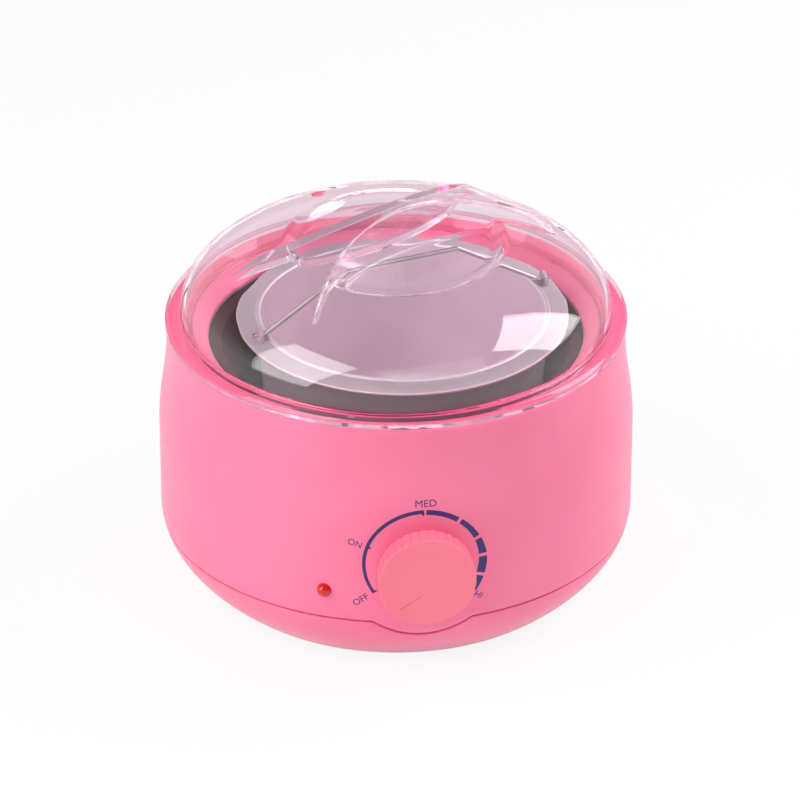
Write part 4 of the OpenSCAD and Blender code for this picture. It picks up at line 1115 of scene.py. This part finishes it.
# %% Bail of bent wire
HOOK, GRIP_HALF, GRIP_UP = 2.4, 22.5, 19.5
tip_r, bend_r = EAR_R + HOOK, EAR_R - HOOK
bail_path = [(-tip_r, 0), (-bend_r, 0), (-GRIP_HALF, GRIP_UP), (GRIP_HALF, GRIP_UP), (bend_r, 0),
             (tip_r, 0)]
bail_dir = np.array((math.cos(math.radians(BAIL_ANGLE)), math.sin(math.radians(BAIL_ANGLE)), 0))
bail_points = [np.array((POT_X, 0, PIVOT_Z)) + bail_dir * s + np.array((0, 0, u)) for s, u in bail_path]
bail_line = bpy.data.meshes.new("bail_line")
bail_edges = [(i, i + 1) for i in range(len(bail_points) - 1)]
bail_line.from_pydata([tuple(p * MM) for p in bail_points], bail_edges, [])
bail_mesh = grow(sweep_tree, {"Wire radius": 0.9 * MM, "Bend radius": 3.0 * MM, "Material": wire_metal},
                 start=bail_line)
smooth_shade(bail_mesh, 50.0)
wire_bail = add_piece("wire_bail", bail_mesh, wire_metal)
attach(wire_bail, "bail")
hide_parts("pot_bail")
print("bail:", len(bail_mesh.polygons), "faces")

# %% [markdown]
# The lid is the piece that the photograph shows best: a clear dome with a waisted grip between two finger
# scoops. A few rules give its heights: the dome's curve, the floor and flared rim of the scoops, and the
# crest of the grip, which is a long arch that a round cap brings down at both ends. A last rule gives the
# plan of the scoops' walls, which stand almost upright. Soft minimum and maximum join the heights with
# rounded edges, as a mould has. The inside follows the same rules, a wall's thickness lower. Sculpting or
# subdivision would be quicker, but every ripple of the skin would show in clear plastic.

# %% The lid's height rules
DOME_R, DOME_Z, DOME_H = 81.3, 108.8, 35.3
DOME_FULL, DOME_ROUND = 2.4, 0.588
CREST_Z, ARCH_R, ARCH_SKEW = 152.8, 100.9, math.radians(7.0)
CAP_Z, CAP_R = 161.6, 81.6
WAIST, SCOOP_WALL_R, LEAN = 3.6, 97.0, 1.5 / 17.3
SCOOP_Z, SCOOP_R, FLARE = 135.5, 36.0, 1.1
LID_WALL, GRIP_ANGLE = 2.0, 32.6


def soft_min(a, b, k):
    h = np.clip(0.5 + 0.5 * (b - a) / k, 0, 1)
    return b * (1 - h) + a * h - k * h * (1 - h)


def soft_max(a, b, k):
    return -soft_min(-a, -b, k)


def dome_at(r, grown):
    share = np.clip(r / (DOME_R - grown), 0, 1)
    return DOME_Z + (DOME_H - grown) * (1 - share ** (1 / DOME_ROUND)) ** (1 / DOME_FULL)


def crest_at(s, n, grown):
    along = s * math.cos(ARCH_SKEW) + n * math.sin(ARCH_SKEW)
    arch = CREST_Z - ARCH_R + np.sqrt((ARCH_R - grown) ** 2 - along ** 2)
    cap = CAP_Z - CAP_R + np.sqrt((CAP_R - grown) ** 2 - s * s - n * n)
    return soft_max(soft_min(arch, cap, 3.0), dome_at(np.hypot(s, n), grown), 1.2)


def scooped_at(s, n, grown):
    r = np.hypot(s, n)
    floor_z = SCOOP_Z - grown
    bowl = soft_max(floor_z, floor_z + (r - SCOOP_R - grown) / FLARE, 1.2)
    return soft_min(dome_at(r, grown), bowl, 1.0)


def wall_at(s, z, grown):
    radius = SCOOP_WALL_R + grown - LEAN * (CREST_Z - z)
    return WAIST + SCOOP_WALL_R - np.sqrt(radius ** 2 - s * s)


print("grip half width at its foot:", round(float(wall_at(0, SCOOP_Z, 0)), 2))

# %% [markdown]
# The top of the lid is a grid, a square bent into a disc. Each of its cross lines starts on the grip's axis
# and runs outwards over the crest, down the wall and across the scoop. Two of its points lie just where
# the crest's edge and the wall's foot are, found by following the line until it meets the wall's plan, and
# the corner helper rounds both. So the grid's long lines follow the edges, and these come out clean.

# %% Lines across the lid
PATCH_R, COLUMNS = 66.0, 141
CREST_LINES, SCOOP_LINES = 9, 57


def half_line(u, side, grown):
    v = np.linspace(0, 1, 500)
    s = PATCH_R * u * np.sqrt(1 - v * v / 2)
    n = side * PATCH_R * v * math.sqrt(1 - u * u / 2)
    run = np.concatenate([[0], np.cumsum(np.hypot(np.diff(s), np.diff(n)))])
    crest, scooped = crest_at(s, n, grown), scooped_at(s, n, grown)
    edge = np.interp(0, np.abs(n) - wall_at(s, crest, grown), run)
    foot = np.interp(0, np.abs(n) - wall_at(s, scooped, grown), run)
    start, end = edge - min(2.0, 0.6 * edge), max(foot, edge + 0.15) + 2.6
    drop = np.interp(edge, run, crest) - np.interp(foot, run, scooped)
    if drop > 0.3:
        corners = [(start, np.interp(start, run, crest), 0),
                   (edge, np.interp(edge, run, crest), min(0.9, 0.35 * drop)),
                   (max(foot, edge + 0.15), np.interp(foot, run, scooped), min(1.5, 0.35 * drop)),
                   (end, np.interp(end, run, scooped), 0)]
        wall = np.array(rounded(corners, steps=6))
    else:
        at = np.linspace(start, end, 16)
        wall = np.stack([at, np.interp(at, run, scooped)], axis=1)
    top = np.linspace(0, start, CREST_LINES + 1)[:-1]
    out = np.linspace(end, run[-1], SCOOP_LINES + 1)[1:]
    at = np.concatenate([top, wall[:, 0], out])
    z = np.concatenate([np.interp(top, run, crest), wall[:, 1], np.interp(out, run, scooped)])
    return np.stack([np.interp(at, run, s), np.interp(at, run, n), z], axis=1)


def lid_top(grown):
    rows = []
    for u in np.linspace(-1, 1, COLUMNS):
        near, away = half_line(u, -1, grown), half_line(u, 1, grown)
        rows.append(np.concatenate([near[:0:-1], away]))
    flat = np.array(rows)
    turned = math.radians(GRIP_ANGLE)
    x = flat[:, :, 0] * math.cos(turned) - flat[:, :, 1] * math.sin(turned)
    y = flat[:, :, 0] * math.sin(turned) + flat[:, :, 1] * math.cos(turned)
    return np.stack([x, y, flat[:, :, 2]], axis=2)


outer_top, inner_top = lid_top(0.0), lid_top(LID_WALL)
LINES = outer_top.shape[1]
print("lid grid:", COLUMNS, "by", LINES, "points, top at", round(float(outer_top[:, :, 2].max()), 2), "mm")

# %% [markdown]
# The grid's border runs on in rings: down the dome, round the brim and the centring skirt, and up the inside
# to the border of the inner grid. The whole lid is one closed skin, because light has to enter and leave
# it as it does in real plastic.

# %% Clear lid
last_u, last_v = COLUMNS - 1, LINES - 1
border = [(i, 0) for i in range(last_u)] + [(last_u, j) for j in range(last_v)]
border += [(i, last_v) for i in range(last_u, 0, -1)] + [(0, j) for j in range(last_v, 0, -1)]
border_u, border_v = np.array(border).T
points, rings = list(outer_top.reshape(-1, 3)), [list(border_u * LINES + border_v)]


def dome_path(grown, end_z):
    z = np.linspace(float(dome_at(PATCH_R, grown)), end_z, 17)[1:]
    t = (z - DOME_Z) / (DOME_H - grown)
    return list(zip((DOME_R - grown) * (1 - t ** DOME_FULL) ** DOME_ROUND, z))


def add_rings(path, border_points):
    turned = np.arctan2(border_points[:, 1], border_points[:, 0])
    for r, z in path:
        rings.append(list(range(len(points), len(points) + len(turned))))
        points.extend(np.stack([r * np.cos(turned), r * np.sin(turned), np.full(len(turned), z)], axis=1))


BRIM_R, BRIM_Z, SKIRT_R, SKIRT_IN, SKIRT_Z = 87.0, 105.2, 78.9, 76.9, 103.2
brim = rounded([(DOME_R, 111.0, 0), (DOME_R, DOME_Z, 0.9), (85.8, DOME_Z, 1.2), (BRIM_R, 107.5, 0.8),
                (BRIM_R, BRIM_Z, 0.7), (SKIRT_R, BRIM_Z, 0.25), (SKIRT_R, SKIRT_Z, 0.4),
                (SKIRT_IN, SKIRT_Z, 0.4), (SKIRT_IN, BRIM_Z, 0.8), (79.3, DOME_Z, 0)])[1:-1]
add_rings(dome_path(0.0, 110.0) + brim, outer_top[border_u, border_v])
add_rings(dome_path(LID_WALL, DOME_Z)[::-1], inner_top[border_u, border_v])
inner_start = len(points)
points.extend(inner_top.reshape(-1, 3))
rings.append([inner_start + k for k in rings[0]])
faces = ring_faces(rings, False)
for i in range(last_u):
    for j in range(last_v):
        k = i * LINES + j
        quad = (k, k + LINES, k + LINES + 1, k + 1)
        faces.append(quad[::-1])
        faces.append(tuple(inner_start + q for q in quad))
lid_mesh = mesh_from("clear_lid", points, faces)
print("lid:", len(lid_mesh.polygons), "faces")

# %% [markdown]
# The lid is clear styrene with a faint lilac tint. Its shader is a Principled surface that transmits and
# bends light. Where the wall is seen at a slant, light has a longer way through it, so Layer Weight deepens
# the tint there. The brim is tinted pink by its height: a painted glow that stands for the pink light of the
# lip it lies on, seen through it. A thin coat carries the mirror images of the soft boxes, and it is weaker
# at a slant, where the white room would hide what is under the lid.

# %% Clear plastic
BRIM_TOP, DOME_FOOT = 0.108, 0.112
clear, clear_tree, clear_shader, clear_place = new_finish("clear_lid_plastic")
slant = clear_tree.nodes.new("ShaderNodeLayerWeight")
slant.inputs["Blend"].default_value = 0.5
edge_tint = clear_tree.nodes.new("ShaderNodeValToRGB")
edge_tint.color_ramp.elements[0].position = 0.5
edge_tint.color_ramp.elements[0].color = (0.95, 0.88, 0.93, 1)
edge_tint.color_ramp.elements[1].position = 0.95
edge_tint.color_ramp.elements[1].color = (0.64, 0.50, 0.59, 1)
clear_tree.links.new(slant.outputs["Facing"], edge_tint.inputs["Fac"])
# painted pink glow: below the dome's foot the lid's colour is multiplied by pink, for the lip's pink light
# seen through the brim
painted_pink_glow = clear_tree.nodes.new("ShaderNodeMix")
painted_pink_glow.data_type = "RGBA"
painted_pink_glow.blend_type = "MULTIPLY"
painted_pink_share, pink_glow_base, painted_pink_colour = painted_pink_glow.inputs[0], painted_pink_glow.inputs[6], painted_pink_glow.inputs[7]
painted_pink_colour.default_value = (1.0, 0.74, 0.82, 1)
clear_tree.links.new(edge_tint.outputs["Color"], pink_glow_base)
clear_tree.links.new(painted_pink_glow.outputs[2], clear_shader.inputs["Base Color"])
lid_parts = clear_tree.nodes.new("ShaderNodeSeparateXYZ")
clear_tree.links.new(clear_place, lid_parts.inputs[0])
ranged(clear_tree, lid_parts.outputs["Z"], BRIM_TOP, DOME_FOOT, 1.0, 0.0, painted_pink_share)
ranged(clear_tree, slant.outputs["Facing"], 0.4, 0.8, 1.0, 0.08, clear_shader.inputs["Coat Weight"])
spread(clear_tree, noise(clear_tree, clear_place, 90.0), 0.0, 0.03, clear_shader.inputs["Roughness"])
emboss(clear_tree, noise(clear_tree, clear_place, 45.0), 0.04, 0.0003, clear_shader)
constants = {"Transmission Weight": 1.0, "IOR": 1.09, "Coat IOR": 1.58, "Coat Roughness": 0.02}
for label, number in constants.items():
    clear_shader.inputs[label].default_value = number
print("finish:", clear.name, "with", len(clear_tree.nodes), "nodes")

# %% [markdown]
# Two kinds of ray go straight through, with a slight tint. Rays to the lamps do, so that the pot below is
# lit as it is under real clear plastic. Rays that have been mirrored twice inside the wall do too, because
# the renderer would give them up after a few more turns and leave black lines in the lid.

# %% Let light through the lid
THROUGH_TINT, MIRRORED = (0.97, 0.90, 0.94, 1), 1.5
through = clear_tree.nodes.new("ShaderNodeBsdfTransparent")
through.inputs["Color"].default_value = THROUGH_TINT
ray = clear_tree.nodes.new("ShaderNodeLightPath")
trapped = maths(clear_tree, "GREATER_THAN", ray.outputs["Glossy Depth"], MIRRORED)
straight = maths(clear_tree, "MAXIMUM", ray.outputs["Is Shadow Ray"], trapped)
mixed_shader(clear_tree, straight, clear_shader, through, clear_tree.nodes["Material Output"])
print("lid finish now has", len(clear_tree.nodes), "nodes")

# %% [markdown]
# The steam vent is a small round hole behind the grip. It goes through both skins of the dome, so one rod
# cuts it, and the cut's own wall closes the skin again.

# %% Steam vent
VENT_R, VENT_FAR, VENT_TURN = 2.8, 53, 85
clear_lid = add_piece("clear_lid", lid_mesh, clear)
vent_x, vent_y, _ = at_angle(GRIP_ANGLE + VENT_TURN, VENT_FAR, 0)
carve(clear_lid, "DIFFERENCE", [rod((vent_x, vent_y, 120), (vent_x, vent_y, 150), VENT_R, 40)])
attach(clear_lid, "lid")
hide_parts("lid")
print("lid with vent:", len(clear_lid.data.polygons), "faces")

# %% [markdown]
# The remaining parts keep their solids, and only their finishes are new. The well is coated dark, and the
# deep red of that coating is partly painted: it stands for the pink light that the shell throws into the
# well.
# The inner parts are zinc-plated steel, brass, aluminium, mica, steatite, nylon and rubber. Sheet metal
# shows the direction in which it was rolled, so its noise is stretched into scratches along one axis. The
# well's coating mirrors very little, because its pale reflections would hide how dark it is.

# %% Finishes of the inner parts


def metal(name, dark, light, rough_low, rough_high, scale):
    finish, tree, shader, place = new_finish(name)
    tint(tree, noise(tree, place, scale / 6), dark, light, shader.inputs["Base Color"])
    stretch = tree.nodes.new("ShaderNodeMapping")
    stretch.inputs["Scale"].default_value = (1.0, 0.08, 1.0)
    tree.links.new(place, stretch.inputs["Vector"])
    scratches = noise(tree, stretch.outputs[0], scale, 3.0)
    spread(tree, scratches, rough_low, rough_high, shader.inputs["Roughness"])
    emboss(tree, scratches, 0.2, 0.00003, shader)
    shader.inputs["Metallic"].default_value = 1.0
    return finish


zinc = metal("zinc_plated_steel", (0.46, 0.47, 0.50, 1), (0.62, 0.63, 0.64, 1), 0.28, 0.45, 900.0)
yellow_brass = metal("yellow_brass", (0.60, 0.42, 0.16, 1), (0.76, 0.56, 0.25, 1), 0.22, 0.38, 1200.0)
bare_aluminium = metal("bare_aluminium", (0.66, 0.67, 0.69, 1), (0.78, 0.79, 0.80, 1), 0.25, 0.4, 1100.0)
mica = moulded("pressed_mica", srgb(150, 122, 92), srgb(186, 156, 122), 0.45, 0.7, 700.0, 0.0002)[0]
steatite = moulded(
    "fired_steatite", srgb(222, 214, 196), srgb(238, 232, 218), 0.5, 0.65, 1400.0, 0.0001)[0]
nylon = moulded("white_nylon", srgb(228, 228, 222), srgb(242, 242, 238), 0.35, 0.5, 1000.0, 0.00006)[0]
rubber = moulded("black_rubber", srgb(24, 23, 24), srgb(38, 37, 38), 0.65, 0.85, 1600.0, 0.00015)[0]
# dark coating whose deep red is partly painted pink light bounced into the well from the shell
coat, coat_shader = moulded(
    "dark_well_coating_and_painted_pink_bounce", srgb(74, 14, 34), srgb(90, 22, 44), 0.45, 0.6, 1300.0, 0.00008)
coat_shader.inputs["Specular IOR Level"].default_value = 0.12
inner_finishes = (zinc, yellow_brass, bare_aluminium, mica, steatite, nylon, rubber, coat)
print("inner finishes:", [finish.name for finish in inner_finishes])

# %% [markdown]
# The indicator is a small red bead with a neon lamp behind it. Light enters the bead and comes out redder,
# so it gets a little subsurface scattering and a thin clear coat. Plain red plastic would look like paint.
# The lamp is off in the photograph, so nothing glows.

# %% Indicator bead and neon lamp
red, red_shader = moulded(
    "red_indicator_bead", srgb(196, 8, 6), srgb(222, 16, 10), 0.06, 0.12, 600.0, 0.00002)
red_shader.inputs["Subsurface Weight"].default_value = 0.3
red_shader.inputs["Subsurface Radius"].default_value = (1.0, 0.1, 0.06)
red_shader.inputs["Subsurface Scale"].default_value = 0.002
red_shader.inputs["Coat Weight"].default_value = 0.3
neon, neon_shader = moulded(
    "neon_lamp_glass", srgb(250, 214, 190), srgb(255, 232, 214), 0.02, 0.06, 500.0, 0.00001)
neon_shader.inputs["Transmission Weight"].default_value = 0.8
print("indicator finishes:", red.name, neon.name)

# %% [markdown]
# Every solid that stays now gets its finish. A table from finish to nodes shows at a glance what is made
# of what, and one loop hands the finishes out.

# %% Give every kept solid its finish
kept = {
    zinc: ["base_screws", "heater_clamp_plate", "heat_shield", "support_posts", "post_screws",
           "thermostat_frame", "frame_screws", "cord_clamp_screws"],
    yellow_brass: ["clamp_nut", "thermostat_terminals", "thermostat_bushing", "terminal_screws"],
    bare_aluminium: ["thermostat_saddle", "thermostat_shaft"],
    mica: ["heater_plate"], steatite: ["thermostat_core", "thermal_fuse"],
    nylon: ["lamp_holder", "terminal_block", "cord_clamp"], rubber: ["rubber_feet", "chamber_gasket"],
    coat: ["heating_chamber"], red: ["indicator_lens"], neon: ["neon_lamp"],
    pink: ["cord_inlet", "screw_bosses"]}
for finish, names in kept.items():
    for name in names:
        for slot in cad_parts[name].material_slots:
            slot.material = finish
print("solids kept:", sum(len(names) for names in kept.values()))
